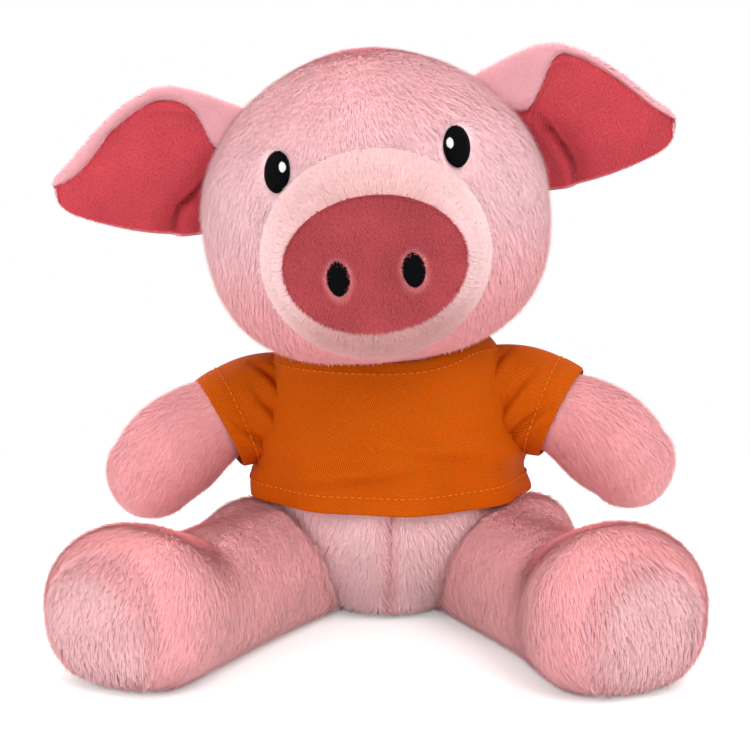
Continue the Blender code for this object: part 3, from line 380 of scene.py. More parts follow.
def sum_of(tree, kind, first, second, operation):
    node = tree.nodes.new(kind)
    node.operation = operation
    for socket, value in zip(node.inputs, (first, second)):
        if hasattr(value, "is_output"):
            tree.links.new(value, socket)
        else:
            socket.default_value = value
    return node.outputs[0]


def number(tree, first, second, operation="MULTIPLY"):
    return sum_of(tree, "ShaderNodeMath", first, second, operation)


def vector(tree, first, second, operation="ADD"):
    return sum_of(tree, "ShaderNodeVectorMath", first, second, operation)


def scaled(tree, value, factor):
    node = make(tree, "ShaderNodeVectorMath", {0: value}, operation="SCALE")
    if hasattr(factor, "is_output"):
        tree.links.new(factor, node.inputs["Scale"])
    else:
        node.inputs["Scale"].default_value = factor
    return node.outputs[0]


LOOK_OUTPUTS = [("Color", "Color"), ("Roughness", "Float"), ("Normal", "Vector")]


def new_group(name, kind, inputs, outputs):
    tree = bpy.data.node_groups.new(name, kind)
    for label, socket, value in inputs:
        made = tree.interface.new_socket(label, in_out="INPUT", socket_type="NodeSocket" + socket)
        if value is not None:
            made.default_value = value
    for label, socket in outputs:
        tree.interface.new_socket(label, in_out="OUTPUT", socket_type="NodeSocket" + socket)
    return tree, tree.nodes.new("NodeGroupInput").outputs, tree.nodes.new("NodeGroupOutput").inputs


def set_input(modifier, label, value):
    for item in modifier.node_group.interface.items_tree:
        if item.item_type == "SOCKET" and item.in_out == "INPUT" and item.name == label:
            modifier[item.identifier] = value


def pile_tree():
    """Fibres set over a skin: small tapered blades that lean along the comb and gather into tufts."""
    tree, given, out = new_group(
        "pile_on_cloth", "GeometryNodeTree",
        [("Geometry", "Geometry", None), ("Fibre", "Object", None), ("Finish", "Material", None),
         ("Density", "Float", 1e6), ("Width", "Float", 0.0004), ("Rise", "Float", 0.7),
         ("Scatter", "Float", 0.3), ("Gather", "Float", 0.5), ("Tuft", "Float", 0.002),
         ("Ragged", "Float", 0.2), ("Stray", "Float", 0.8), ("Seed", "Int", 1)],
        [("Geometry", "Geometry")],
    )

    def stored(name, kind="FLOAT"):
        node = make(tree, "GeometryNodeInputNamedAttribute", data_type=kind)
        node.inputs["Name"].default_value = name
        return node.outputs["Attribute"]

    density = number(tree, given["Density"], stored("pile_cover"))
    spread = make(tree, "GeometryNodeDistributePointsOnFaces",
                  {"Mesh": given["Geometry"], "Seed": given["Seed"]})
    wire(tree, density, spread.inputs["Density"])
    normal = spread.outputs["Normal"]

    def store(geometry, name, value, kind="FLOAT", domain="POINT"):
        node = make(tree, "GeometryNodeStoreNamedAttribute", data_type=kind, domain=domain)
        wire(tree, geometry, node.inputs["Geometry"])
        node.inputs["Name"].default_value = name
        wire(tree, value, node.inputs["Value"])
        return node.outputs["Geometry"]

    position = make(tree, "GeometryNodeInputPosition").outputs[0]
    cells = make(tree, "ShaderNodeTexVoronoi", {"Vector": position, "Randomness": 1.0}, feature="F1")
    wire(tree, number(tree, 1.0, given["Tuft"], "DIVIDE"), cells.inputs["Scale"])
    toward = vector(tree, cells.outputs["Position"], position, "SUBTRACT")
    toward = scaled(tree, toward, number(tree, given["Gather"], given["Tuft"], "DIVIDE"))
    jitter = make(tree, "FunctionNodeRandomValue", {"Min": (-1, -1, -1), "Max": (1, 1, 1)},
                  data_type="FLOAT_VECTOR")
    wire(tree, number(tree, given["Seed"], 7.0, "ADD"), jitter.inputs["Seed"])
    luck = make(tree, "FunctionNodeRandomValue", {"Seed": 31}, data_type="FLOAT")
    stray = number(tree, number(tree, luck.outputs[1], 10.0, "POWER"), given["Stray"])
    rise = number(tree, given["Rise"], stray, "ADD")
    lean = vector(tree, stored("comb", "FLOAT_VECTOR"), scaled(tree, normal, rise))
    lean = vector(tree, lean, toward)
    lean = vector(tree, lean, scaled(tree, jitter.outputs[0], given["Scatter"]))
    upright = make(tree, "FunctionNodeAlignRotationToVector", axis="Z")
    wire(tree, lean, upright.inputs["Vector"])
    faced = make(tree, "FunctionNodeAlignRotationToVector", axis="X", pivot_axis="Z")
    wire(tree, upright.outputs[0], faced.inputs["Rotation"])
    wire(tree, normal, faced.inputs["Vector"])

    chance = make(tree, "FunctionNodeRandomValue", {"Seed": 11}, data_type="FLOAT")
    wire(tree, number(tree, 1.0, given["Ragged"], "SUBTRACT"), chance.inputs[2])
    wire(tree, number(tree, 1.0, given["Ragged"], "ADD"), chance.inputs[3])
    length = number(tree, stored("pile_length"), chance.outputs[1])
    scale = make(tree, "ShaderNodeCombineXYZ", {"X": length, "Y": given["Width"], "Z": length})
    tone = make(tree, "FunctionNodeRandomValue", {"Seed": 23}, data_type="FLOAT")

    points = store(spread.outputs["Points"], "skin_normal", normal, "FLOAT_VECTOR")
    points = store(points, "tone", tone.outputs[1])
    count = make(tree, "GeometryNodeAttributeDomainSize", {"Geometry": points}, component="POINTCLOUD")
    root = number(tree, count.outputs["Point Count"], 0.5, "POWER")
    columns = make(tree, "ShaderNodeMath", {0: root}, operation="CEIL").outputs[0]
    index = make(tree, "GeometryNodeInputIndex").outputs[0]
    share = number(tree, index, columns, "DIVIDE")
    row = make(tree, "ShaderNodeMath", {0: share}, operation="FLOOR").outputs[0]
    column = number(tree, index, number(tree, row, columns), "SUBTRACT")
    cell_u = number(tree, number(tree, column, 0.1, "ADD"), columns, "DIVIDE")
    cell_v = number(tree, number(tree, row, 0.1, "ADD"), columns, "DIVIDE")
    cell_v = number(tree, number(tree, cell_v, 0.74), 0.26, "ADD")
    cell_size = number(tree, 0.8, columns, "DIVIDE")
    cell = make(tree, "ShaderNodeCombineXYZ", {"X": cell_u, "Y": cell_v, "Z": cell_size})
    points = store(points, "cell", cell.outputs[0], "FLOAT_VECTOR")

    fibre = make(tree, "GeometryNodeObjectInfo", {"Object": given["Fibre"]}, transform_space="ORIGINAL")
    placed = make(tree, "GeometryNodeInstanceOnPoints",
                  {"Points": points, "Instance": fibre.outputs["Geometry"]})
    wire(tree, faced.outputs[0], placed.inputs["Rotation"])
    wire(tree, scale.outputs[0], placed.inputs["Scale"])
    single = make(tree, "GeometryNodeRealizeInstances", {"Geometry": placed.outputs[0]})
    corner = make(tree, "ShaderNodeSeparateXYZ", {0: stored("cell", "FLOAT_VECTOR")})
    own = make(tree, "ShaderNodeSeparateXYZ", {0: stored("OFBake", "FLOAT_VECTOR")})
    u = number(tree, number(tree, own.outputs[0], corner.outputs[2]), corner.outputs[0], "ADD")
    tall = number(tree, corner.outputs[2], 0.74)
    v = number(tree, number(tree, own.outputs[1], tall), corner.outputs[1], "ADD")
    place = make(tree, "ShaderNodeCombineXYZ", {"X": u, "Y": v})
    fibres = store(single.outputs[0], "OFBake", place.outputs[0], "FLOAT2", "CORNER")
    joined = tree.nodes.new("GeometryNodeJoinGeometry")
    wire(tree, fibres, joined.inputs[0])
    wire(tree, given["Geometry"], joined.inputs[0])
    real = make(tree, "GeometryNodeRealizeInstances", {"Geometry": joined.outputs[0]})
    finish = make(tree, "GeometryNodeSetMaterial", {"Geometry": real.outputs[0], "Material": given["Finish"]})
    wire(tree, finish.outputs[0], out["Geometry"])
    return tree


def fibre_blade():
    """One fibre: a blade that narrows to its tip, root at the origin."""
    points = [(0, -0.5, 0), (0, 0.5, 0), (0, -0.16, 1), (0, 0.16, 1)]
    blade = mesh_object("fibre", points, [(0, 1, 3, 2)], [(0, 0), (1, 0), (0.7, 1), (0.3, 1)])
    put(blade, "tip", [0, 0, 1, 1])
    return blade


PILE = pile_tree()
FIBRE = fibre_blade()


def plain_mesh(item):
    """The mesh that an object's modifiers make, in place of its own."""
    bpy.context.view_layer.update()
    depsgraph = bpy.context.evaluated_depsgraph_get()
    mesh = bpy.data.meshes.new_from_object(
        item.evaluated_get(depsgraph), preserve_all_data_layers=True, depsgraph=depsgraph)
    item.modifiers.clear()
    item.data = mesh
    return item


def soften_fibres(item, share):
    """Shade each fibre mostly as the skin that it grows from."""
    mesh = item.data
    count = len(mesh.vertices)
    skin = np.zeros(count * 3, np.float32)
    mesh.attributes["skin_normal"].data.foreach_get("vector", skin)
    skin = skin.reshape(-1, 3)
    mixed = unit(normals_of(item) * (1 - share) + skin * share)
    mesh.normals_split_custom_set_from_vertices([tuple(normal) for normal in mixed])


def grow_pile(skin, name, finish, density, seed, width=0.26 * MM, rise=0.26, scatter=0.12, gather=0.1,
              tuft=2.2 * MM, ragged=0.2, soft=0.95, stray=0.35):
    """Cover a skin with fibres by its own comb, cover and length, as one plain mesh."""
    comb, length = skin.data.attributes["comb"].data, skin.data.attributes["pile_length"].data
    lie, reach = np.zeros(len(comb) * 3, np.float32), np.zeros(len(length), np.float32)
    comb.foreach_get("vector", lie)
    length.foreach_get("value", reach)
    lie = lie.reshape(-1, 3)
    strength = np.linalg.norm(lie, axis=1)
    comb.foreach_set("vector", unit(lie).ravel())
    length.foreach_set("value", reach * (SHORTEST + (1 - SHORTEST) * np.minimum(strength, 1.0)))
    modifier = skin.modifiers.new("pile", "NODES")
    modifier.node_group = PILE
    for label, value in (
        ("Fibre", FIBRE), ("Finish", finish), ("Density", density * 1e6), ("Width", width), ("Rise", rise),
        ("Scatter", scatter), ("Gather", gather), ("Tuft", tuft), ("Ragged", ragged), ("Stray", stray),
        ("Seed", seed),
    ):
        set_input(modifier, label, value)
    plain_mesh(skin)
    skin.name = name
    skin.data.name = name
    soften_fibres(skin, soft)
    points = points_of(skin)
    points[:, 2] = np.maximum(points[:, 2], FLOOR_GAP)
    set_points(skin, points)
    for spare in ("skin_normal", "cell", "comb", "pile_cover", "pile_length"):
        attribute = skin.data.attributes.get(spare)
        if attribute:
            skin.data.attributes.remove(attribute)
    return skin


def dress(skin, name, body, nodes, slot, finish, density, seed, comb, cover, length, zone=None, fill=None,
          **pile):
    """Grow a skin's pile and give the piece its body and its nodes; the slot and the padding are not used."""
    put(skin, "comb", comb)
    put(skin, "pile_cover", cover)
    put(skin, "pile_length", length)
    if zone is not None:
        put(skin, "zone", zone)
    piece = grow_pile(skin, name, finish, PILE_DENSITY[density], seed, **pile)
    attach(piece, body)
    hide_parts(*nodes)


# Finishes

def colour(red, green, blue):
    """A colour as the eye reads it, 0 to 255, in linear light."""
    def linear(value):
        value /= 255
        return value / 12.92 if value <= 0.04045 else ((value + 0.055) / 1.055) ** 2.4
    return (linear(red), linear(green), linear(blue), 1.0)


def mix_colour(tree, factor, first, second, blend="MIX"):
    node = make(tree, "ShaderNodeMix", data_type="RGBA", blend_type=blend)
    for socket, value in ((node.inputs[0], factor), (node.inputs[6], first), (node.inputs[7], second)):
        if hasattr(value, "is_output"):
            tree.links.new(value, socket)
        else:
            socket.default_value = value
    return node.outputs[2]


def roughen(tree, out, share, low, high, height, strength, depth):
    """Roughness between two values by a share, and bumps by a height."""
    rough = make(tree, "ShaderNodeMapRange", {0: share, 3: low, 4: high})
    wire(tree, rough.outputs[0], out["Roughness"])
    bump = make(tree, "ShaderNodeBump", {"Strength": strength, "Distance": depth, "Height": height})
    wire(tree, bump.outputs[0], out["Normal"])


def pile_colour_group():
    """Colour along the fibres: deep at the root, pale at the tip, with soft patches and single odd fibres."""
    tree, given, out = new_group(
        "pile_colour", "ShaderNodeTree",
        [("Root", "Color", (0.5, 0.2, 0.2, 1)), ("Body", "Color", (0.8, 0.4, 0.4, 1)),
         ("Tip", "Color", (1, 0.7, 0.7, 1)), ("Zone", "Color", (0.8, 0.5, 0.5, 1)),
         ("Patch Size", "Float", 90.0), ("Patches", "Float", 0.3), ("Odd Fibres", "Float", 0.2)],
        LOOK_OUTPUTS)
    tip = make(tree, "ShaderNodeAttribute", attribute_name="tip").outputs["Fac"]
    tone = make(tree, "ShaderNodeAttribute", attribute_name="tone").outputs["Fac"]
    place = make(tree, "ShaderNodeTexCoord").outputs["Object"]
    lower = mix_colour(tree, make(tree, "ShaderNodeMapRange", {0: tip, 1: 0.0, 2: 0.55}).outputs[0],
                       given["Root"], given["Body"])
    shade = mix_colour(tree, make(tree, "ShaderNodeMapRange", {0: tip, 1: 0.45, 2: 1.0}).outputs[0],
                       lower, given["Tip"])
    # The zone tint is painted shade on the head's lower part, under the muzzle, along the belly seam and by
    # the ear's crease.
    zone = make(tree, "ShaderNodeAttribute", attribute_name="zone").outputs["Fac"]
    shade = mix_colour(tree, zone, shade, given["Zone"])
    patch = make(tree, "ShaderNodeTexNoise", {"Vector": place, "Scale": given["Patch Size"], "Detail": 3.0})
    lift = make(tree, "ShaderNodeMapRange", {0: patch.outputs["Fac"], 1: 0.3, 2: 0.7, 3: -1.0, 4: 1.0})
    lift = number(tree, lift.outputs[0], given["Patches"])
    odd = number(tree, number(tree, tone, 0.5, "SUBTRACT"), given["Odd Fibres"])
    gain = number(tree, number(tree, lift, odd, "ADD"), 1.0, "ADD")
    bright = make(tree, "ShaderNodeVectorMath", {0: shade}, operation="SCALE")
    wire(tree, gain, bright.inputs["Scale"])
    wire(tree, bright.outputs[0], out["Color"])
    grain = make(tree, "ShaderNodeTexNoise", {"Vector": place, "Scale": 1800.0, "Detail": 2.0})
    roughen(tree, out, tone, 0.75, 0.95, grain.outputs["Fac"], 0.5, 0.0003)
    return tree


def new_finish(name, roughness=0.9, sheen=0.0, sheen_tint=(1, 1, 1, 1), gloss=0.2):
    material = bpy.data.materials.new(name)
    material.use_nodes = True
    shader = material.node_tree.nodes["Principled BSDF"]
    shader.inputs["Roughness"].default_value = roughness
    shader.inputs["Specular IOR Level"].default_value = gloss
    shader.inputs["Sheen Weight"].default_value = sheen
    shader.inputs["Sheen Roughness"].default_value = 0.5
    shader.inputs["Sheen Tint"].default_value = sheen_tint
    return material, material.node_tree, shader


def use_group(tree, group, values):
    node = tree.nodes.new("ShaderNodeGroup")
    node.node_tree = group
    for key, value in values.items():
        node.inputs[key].default_value = value
    return node


def feed(tree, made, shader, labels=("Color", "Roughness", "Normal")):
    """Lead a group's outputs to the shader's sockets."""
    for label in labels:
        wire(tree, made.outputs[label], shader.inputs["Base Color" if label == "Color" else label])


PILE_COLOUR = pile_colour_group()


def pile_finish(name, root, body, tip, zone=(255, 255, 255), patch_size=90.0, patches=0.05, odd=0.1,
                sheen=0.3):
    material, tree, shader = new_finish(name, 0.9, sheen, colour(255, 225, 225))
    made = use_group(tree, PILE_COLOUR, {
        "Root": colour(*root), "Body": colour(*body), "Tip": colour(*tip), "Zone": colour(*zone),
        "Patch Size": patch_size, "Patches": patches, "Odd Fibres": odd})
    feed(tree, made, shader, ("Color", "Roughness"))
    return material


# The fourth colour of each pile is its zone tint; the pink, pale, belly and ear plush piles use it as painted
# shade.
PINK_PILE = pile_finish("pink_pile", (252, 220, 223), (244, 197, 202), (249, 212, 216), (240, 164, 168))
LIMB_PILE = pile_finish("limb_pile", (255, 216, 217), (253, 186, 188), (255, 200, 202), (244, 172, 175))
BELLY_PILE = pile_finish("belly_pile", (255, 222, 223), (248, 202, 204), (254, 218, 220), (236, 162, 166))
SOLE_PILE = pile_finish("sole_pile", (250, 206, 208), (236, 176, 180), (246, 204, 206), (232, 156, 162),
                        odd=0.18)
PALE_PILE = pile_finish("pale_pile", (246, 210, 211), (238, 199, 200), (246, 214, 214), (202, 152, 150),
                        odd=0.12)
CORAL_PLUSH = pile_finish("coral_plush", (174, 62, 70), (176, 62, 70), (200, 92, 98), (226, 130, 132),
                          60.0, 0.12, 0.18, 0.2)
EAR_FUR = pile_finish("ear_fur", (244, 190, 196), (233, 172, 179), (244, 194, 200), (240, 160, 170))
EAR_PLUSH = pile_finish("ear_plush", (204, 60, 72), (210, 70, 82), (232, 96, 106), (176, 38, 52),
                        45.0, 0.12, 0.12, 0.2)


# The stuffed head

def eye_place(side):
    return SIDES[side] * EYE_SPACING / 2 + EYE_SHIFT, EYE_RISE[side]


def head_skin():
    facets, steps = 112, 84
    rings = []
    for step in range(1, steps):
        angle = math.pi * (step / steps - 0.5)
        power = 2.0 / (CROWN_POWER if angle > 0 else CHEEK_POWER)
        level = math.copysign(abs(math.sin(angle)) ** power, angle) * HEAD_HEIGHT / 2
        size = abs(math.cos(angle)) ** power * HEAD_WIDTH / 2
        rings.append(oval_ring((0, 0, level), (1, 0, 0), (0, 1, 0), size, size, facets))
    skin = skin_over("head_skin", rings)
    local = points_of(skin)
    for side in SIDES:
        # Each eye's stitching draws the cloth in
        out, up = eye_place(side)
        gap = np.hypot(local[:, 0] - out, local[:, 2] - up)
        dent = np.exp(-((gap / (9 * MM)) ** 2)) * (local[:, 1] < 0) * 1.2 * MM
        local[:, 1] += dent
    set_points(skin, as_points(HEAD_PLACE, local))
    return skin, local


def build_head():
    for panel, seed in (("front", 3), ("back", 5)):
        skin, local = head_skin()
        front = local[:, 1] < 4 * MM
        keep = front if panel == "front" else ~front
        keep_part(skin, keep)
        points, normals = points_of(skin), normals_of(skin)
        local = as_points(HEAD_BACK, points)
        reach = np.hypot(local[:, 0], local[:, 2] + MUZZLE_DROP)
        spread = np.tanh(local[:, 0] / (45 * MM)) * 0.35
        down = np.stack([spread, -0.12 + 0 * reach, -1 + 0 * reach], 1)
        comb = along_surface(as_points(HEAD_TURN, down), normals)
        cover = smooth(1.0, 1.03, in_muzzle(points)) * smooth(1.0, 1.04, in_torso(points, -2 * MM))
        length = np.full(len(points), PILE_LENGTH["head"])
        length *= 0.8 + 0.2 * smooth(38 * MM, 50 * MM, reach)
        length *= 1 - 0.45 * smooth(40 * MM, 56 * MM, local[:, 2])
        for side in SIDES:
            out, up = eye_place(side)
            wide = (local[:, 0] - out) / (EYE_WIDTH / 2)
            high = (local[:, 2] - up) / (EYE_HEIGHT / 2)
            near = np.hypot(wide, high) + 9 * (local[:, 1] > 0)
            cover *= smooth(0.92, 1.02, near)
            length *= 0.5 + 0.5 * smooth(1.0, 1.9, near)
            comb_out = np.stack([wide * 0.6, 0 * wide, high], 1)
            comb_out = as_points(HEAD_TURN, unit(comb_out))
            comb = along_surface(comb + comb_out * (1 - smooth(1.0, 1.8, near))[:, None] * 1.6, normals)
        # Zone tint: deeper pink low on the head is painted shade; the crown also takes a lighter share of the
        # tint towards its top.
        crown = 0.3 * smooth(15 * MM, 45 * MM, local[:, 2])
        zone = 0.85 * smooth(8 * MM, -42 * MM, local[:, 2]) + crown
        dress(skin, f"head_{panel}_fur", "head", [f"head_{panel}_panel"], "pink_pile", PINK_PILE, panel, seed,
              comb, cover, length, zone, 0.95)


def muzzle_skin(name, rise):
    """The muzzle's skin, from inside the head to its flat face."""
    facets = 96
    curve = outline(MUZZLE_OUTLINE, 96)
    rings = []
    for wide, high, reach in curve[1:-1]:
        if reach < 0.35:
            continue
        half = (wide * MUZZLE_WIDTH / 2 + rise, high * MUZZLE_HEIGHT / 2 + rise)
        rings.append(oval_ring((0, -reach * MUZZLE_REACH, -MUZZLE_DROP), (1, 0, 0), (0, 0, 1), *half, facets))
    rings = [as_points(HEAD_PLACE, ring) for ring in rings]
    return skin_over(name, rings)


def build_muzzle():
    skin = muzzle_skin("muzzle_skin", 0.0)
    points, normals = points_of(skin), normals_of(skin)
    local = as_points(HEAD_BACK, points)
    wide = local[:, 0] / (SNOUT_WIDTH / 2)
    high = (local[:, 2] + MUZZLE_DROP) / (SNOUT_HEIGHT / 2)
    share = np.hypot(wide, high)
    away = np.stack([local[:, 0], np.full(len(local), 20 * MM), local[:, 2] + MUZZLE_DROP], 1)
    comb = along_surface(as_points(HEAD_TURN, unit(away)), normals)
    facing = local[:, 1] < -MUZZLE_REACH * 0.8
    cover = np.where(facing, smooth(0.98, 1.0, share), 1.0) * smooth(0.97, 1.0, in_head(points))
    length = PILE_LENGTH["muzzle"] * (0.55 + 0.45 * smooth(1.0, 1.2, share))
    lean = high / np.maximum(share, 1e-6)
    # Zone tint: darker and browner under the muzzle is painted shade; a lesser share lies over its top and a
    # little all round.
    zone = 0.1 + 0.5 * smooth(0.2, 1.0, lean) + 0.85 * smooth(-0.3, -1.0, lean)
    dress(skin, "muzzle_fur", "head", ["muzzle_band"], "pale_pile", PALE_PILE, "muzzle", 9, comb, cover,
          length, zone, 0.95, rise=0.34, scatter=0.14, gather=0.14, tuft=1.8 * MM)


def snout_surface(x, z, lift=0.0):
    """The snout's face over a place of the head's frame."""
    curve = MUZZLE_CURVE[MUZZLE_CURVE[:, 2] > 0.7]
    share = math.hypot(x / (MUZZLE_WIDTH / 2), (z + MUZZLE_DROP) / (MUZZLE_HEIGHT / 2))
    angle = math.atan2((z + MUZZLE_DROP) / MUZZLE_HEIGHT, x / MUZZLE_WIDTH)
    along = np.hypot(curve[:, 0] * math.cos(angle), curve[:, 1] * math.sin(angle))
    reach = np.interp(-share, -along, curve[:, 2])
    return np.array((x, -reach * MUZZLE_REACH - lift, z))


def build_snout():
    facets, rows = 72, 30
    edge_half = (SNOUT_WIDTH / 2, SNOUT_HEIGHT / 2)
    rings = []
    for thick in (0.0, 1.0):
        steps = range(1, rows + 1) if thick == 0.0 else range(rows, 0, -1)
        for step in steps:
            share = step / rows
            ring = []
            for i in range(facets):
                angle = 2 * math.pi * i / facets
                x = edge_half[0] * share * math.cos(angle)
                z = edge_half[1] * share * math.sin(angle) - MUZZLE_DROP
                rise = 0.35 * MM - 2.2 * MM * thick
                for sign in SIDES.values():
                    gap = math.hypot((x - sign * NOSTRIL_SPACING / 2) / NOSTRIL_WIDTH,
                                     (z + MUZZLE_DROP + NOSTRIL_DROP) / NOSTRIL_HEIGHT)
                    rise -= 1.1 * MM * math.exp(-((gap / 0.62) ** 2)) * (1 - thick)
                ring.append(snout_surface(x, z, rise))
            rings.append(as_points(HEAD_PLACE, ring))
    skin = skin_over("snout_skin", rings)
    points, normals = points_of(skin), normals_of(skin)
    local = as_points(HEAD_BACK, points)
    down = np.tile(np.array((0.15, 0.0, -1.0)), (len(local), 1))
    comb = along_surface(as_points(HEAD_TURN, down), normals)
    front = normals @ np.array(HEAD_PLACE.to_3x3() @ Vector((0, -1, 0)))
    cover = smooth(0.1, 0.4, front)
    ring = np.zeros(len(points))
    for sign in SIDES.values():
        near = np.hypot((local[:, 0] - sign * NOSTRIL_SPACING / 2) / (NOSTRIL_WIDTH / 2),
                        (local[:, 2] + MUZZLE_DROP + NOSTRIL_DROP) / (NOSTRIL_HEIGHT / 2))
        cover *= smooth(0.9, 1.0, near)
        ring = ring + np.exp(-(((near - 1.15) / 0.2) ** 2)) * 0.7
    dress(skin, "snout_plush", "head", ["snout_disc"], "coral_plush", CORAL_PLUSH, "snout", 13, comb, cover,
          PILE_LENGTH["snout"], np.clip(ring, 0, 1), width=0.24 * MM, rise=0.7, scatter=0.5, gather=0.16,
          tuft=1.1 * MM, ragged=0.25, soft=0.92, stray=0.0)


build_head()
build_muzzle()
build_snout()


# Torso

def torso_skin(grow=0.0):
    facets = 104
    rings = []
    for share, level in TORSO_CURVE[1:-1]:
        centre = (0, 0, max(level * TORSO_HEIGHT - FLOOR_CUT, 0.1 * MM))
        half = (share * TORSO_WIDTH / 2 + grow, share * TORSO_DEPTH / 2 + grow)
        rings.append(oval_ring(centre, (1, 0, 0), (0, 1, 0), *half, facets))
    return skin_over("torso_skin", rings)


def hip(side):
    return np.array((SIDES[side] * HIP_OUT, -HIP_FORWARD, LEG_RADIUS - FLOOR_CUT))


def shoulder(side):
    return np.array((SIDES[side] * SHOULDER[0], SHOULDER[1], SHOULDER[2]))


def into_socket(points, centre, radius):
    """Sink what lies within a limb's ball to the far side of it."""
    offset = points - centre
    inward = -centre * np.array((1.0, 1.0, 0.0))
    inward = inward / np.linalg.norm(inward)
    depth = offset @ inward
    across = offset - depth[:, None] * inward
    reach = np.linalg.norm(across, axis=1)
    within = np.linalg.norm(offset, axis=1) < radius
    sunk = centre + across + inward * np.sqrt(np.maximum(radius**2 - reach**2, 0))[:, None]
    return np.where(within[:, None], sunk, points)


def build_torso():
    skin = torso_skin()
    points = points_of(skin)
    # The belly seam draws the cloth in
    front = (points[:, 1] < 0) * smooth(4 * MM, 14 * MM, points[:, 2])
    groove = np.exp(-((points[:, 0] / (2.2 * MM)) ** 2)) * front
    points[:, 1] += groove * 1.7 * MM
    low_front = smooth(14 * MM, 2 * MM, points[:, 2]) * (points[:, 1] < 0)
    low_front = low_front * np.exp(-((points[:, 0] / (22 * MM)) ** 2))
    points[:, 1] -= BELLY_SAG * low_front
    rest = points.copy()
    for side in SIDES:
        points = into_socket(points, hip(side), LEG_RADIUS + 0.6 * MM)
        points = into_socket(points, shoulder(side), ARM_ROOT_RADIUS + 0.6 * MM)
    set_points(skin, points)
    normals = normals_of(skin)
    side_pull = np.stack([np.sign(rest[:, 0]) * 0.35, 0 * rest[:, 0], -np.ones(len(rest))], 1)
    near_seam = (np.exp(-((rest[:, 0] / (5 * MM)) ** 2)) * (rest[:, 1] < 0))[:, None]
    side_pull = side_pull * (1 - near_seam) + near_seam * np.stack(
        [-np.sign(rest[:, 0]) * 0.7, 0 * rest[:, 0], -0.8 * np.ones(len(rest))], 1)
    moved = np.linalg.norm(points - rest, axis=1) < 0.05 * MM
    open_belly = 1 - smooth(50 * MM, 54 * MM, points[:, 2]) + smooth(88 * MM, 92 * MM, points[:, 2])
    cover = moved * smooth(1.5 * MM, 5 * MM, points[:, 2]) * open_belly
    cover *= 1 - 0.75 * np.exp(-((rest[:, 0] / (0.7 * MM)) ** 2)) * (rest[:, 1] < 0)
    length = PILE_LENGTH["belly"] * (1 - 0.3 * smooth(42 * MM, 50 * MM, points[:, 2]))
    # Zone tint: deeper pink along the front seam is painted shade in its groove.
    zone = np.exp(-((rest[:, 0] / (3 * MM)) ** 2)) * (rest[:, 1] < 0) * 0.8
    dress(skin, "belly_fur", "torso", ["torso_panel_left", "torso_panel_right", "seat_panel"], "belly_pile",
          BELLY_PILE, "belly", 17, along_surface(side_pull, normals), cover, length, zone, 0.9,
          rise=0.3, gather=0.18, tuft=2.4 * MM)


build_torso()


# Arms and legs

def arm_point(side, share):
    bend, end = (np.array((SIDES[side] * p[0], p[1], p[2])) for p in (ARM_BEND[side], ARM_END[side]))
    t = min(1.0, max(0.0, share))
    centre = shoulder(side) + bend * (2 * t * (1 - t)) + end * t**2
    along = unit(bend * (1 - t) + (end - bend) * t)
    return centre + along * ((share - t) * arm_length(side)), along


def arm_length(side):
    return np.linalg.norm(ARM_BEND[side]) / 2 + np.linalg.norm(ARM_END[side]) / 2


def arm_radius(share):
    fullness = read_table(ARM_FULLNESS, min(1.0, max(0.0, share)))
    return ARM_ROOT_RADIUS + (ARM_RADIUS - ARM_ROOT_RADIUS) * fullness


def arm_frame(side, share):
    centre, along = arm_point(side, share)
    across = unit(np.array((0.0, 1.0, 0.0)) - along * along[1])
    return centre, along, across, np.cross(along, across)


def clear_of_torso(points, pivot, radius, axis, low, high):
    """Draw a limb's root in to the ball that it turns on, clear of the torso at every pose."""
    hits = np.zeros(len(points), bool)
    for angle in np.linspace(low, high, 5):
        turn = Matrix.Rotation(math.radians(angle), 3, axis)
        posed = (points - pivot) @ np.array(turn).T + pivot
        hits |= in_torso(posed, SEAM_GAP) < 1.0
    offset = points - pivot
    reach = np.linalg.norm(offset, axis=1)
    drawn = pivot + offset * (np.minimum(reach, radius - SEAM_GAP) / np.maximum(reach, 1e-9))[:, None]
    return np.where(hits[:, None], drawn, points), hits


def clear_of_leg(points, side):
    """Keep an arm's skin a little off the leg's skin when the arm is at its lowest."""
    leg = leg_skin(side)
    bpy.context.view_layer.update()
    surface = BVHTree.FromObject(leg, bpy.context.evaluated_depsgraph_get())
    pivot = shoulder(side)
    turn = np.array(Matrix.Rotation(math.radians(ARM_LOWEST), 3, (0, -SIDES[side], 0)))
    lowered = (points - pivot) @ turn.T + pivot
    for i, point in enumerate(lowered):
        nearest, normal, _, _ = surface.find_nearest(point, ARM_RADIUS)
        if nearest is None:
            continue
        gap = (Vector(point) - nearest).dot(normal)
        if gap < PILE_GAP:
            lowered[i] = np.array(nearest + normal * PILE_GAP)
    bpy.data.objects.remove(leg)
    return (lowered - pivot) @ turn + pivot


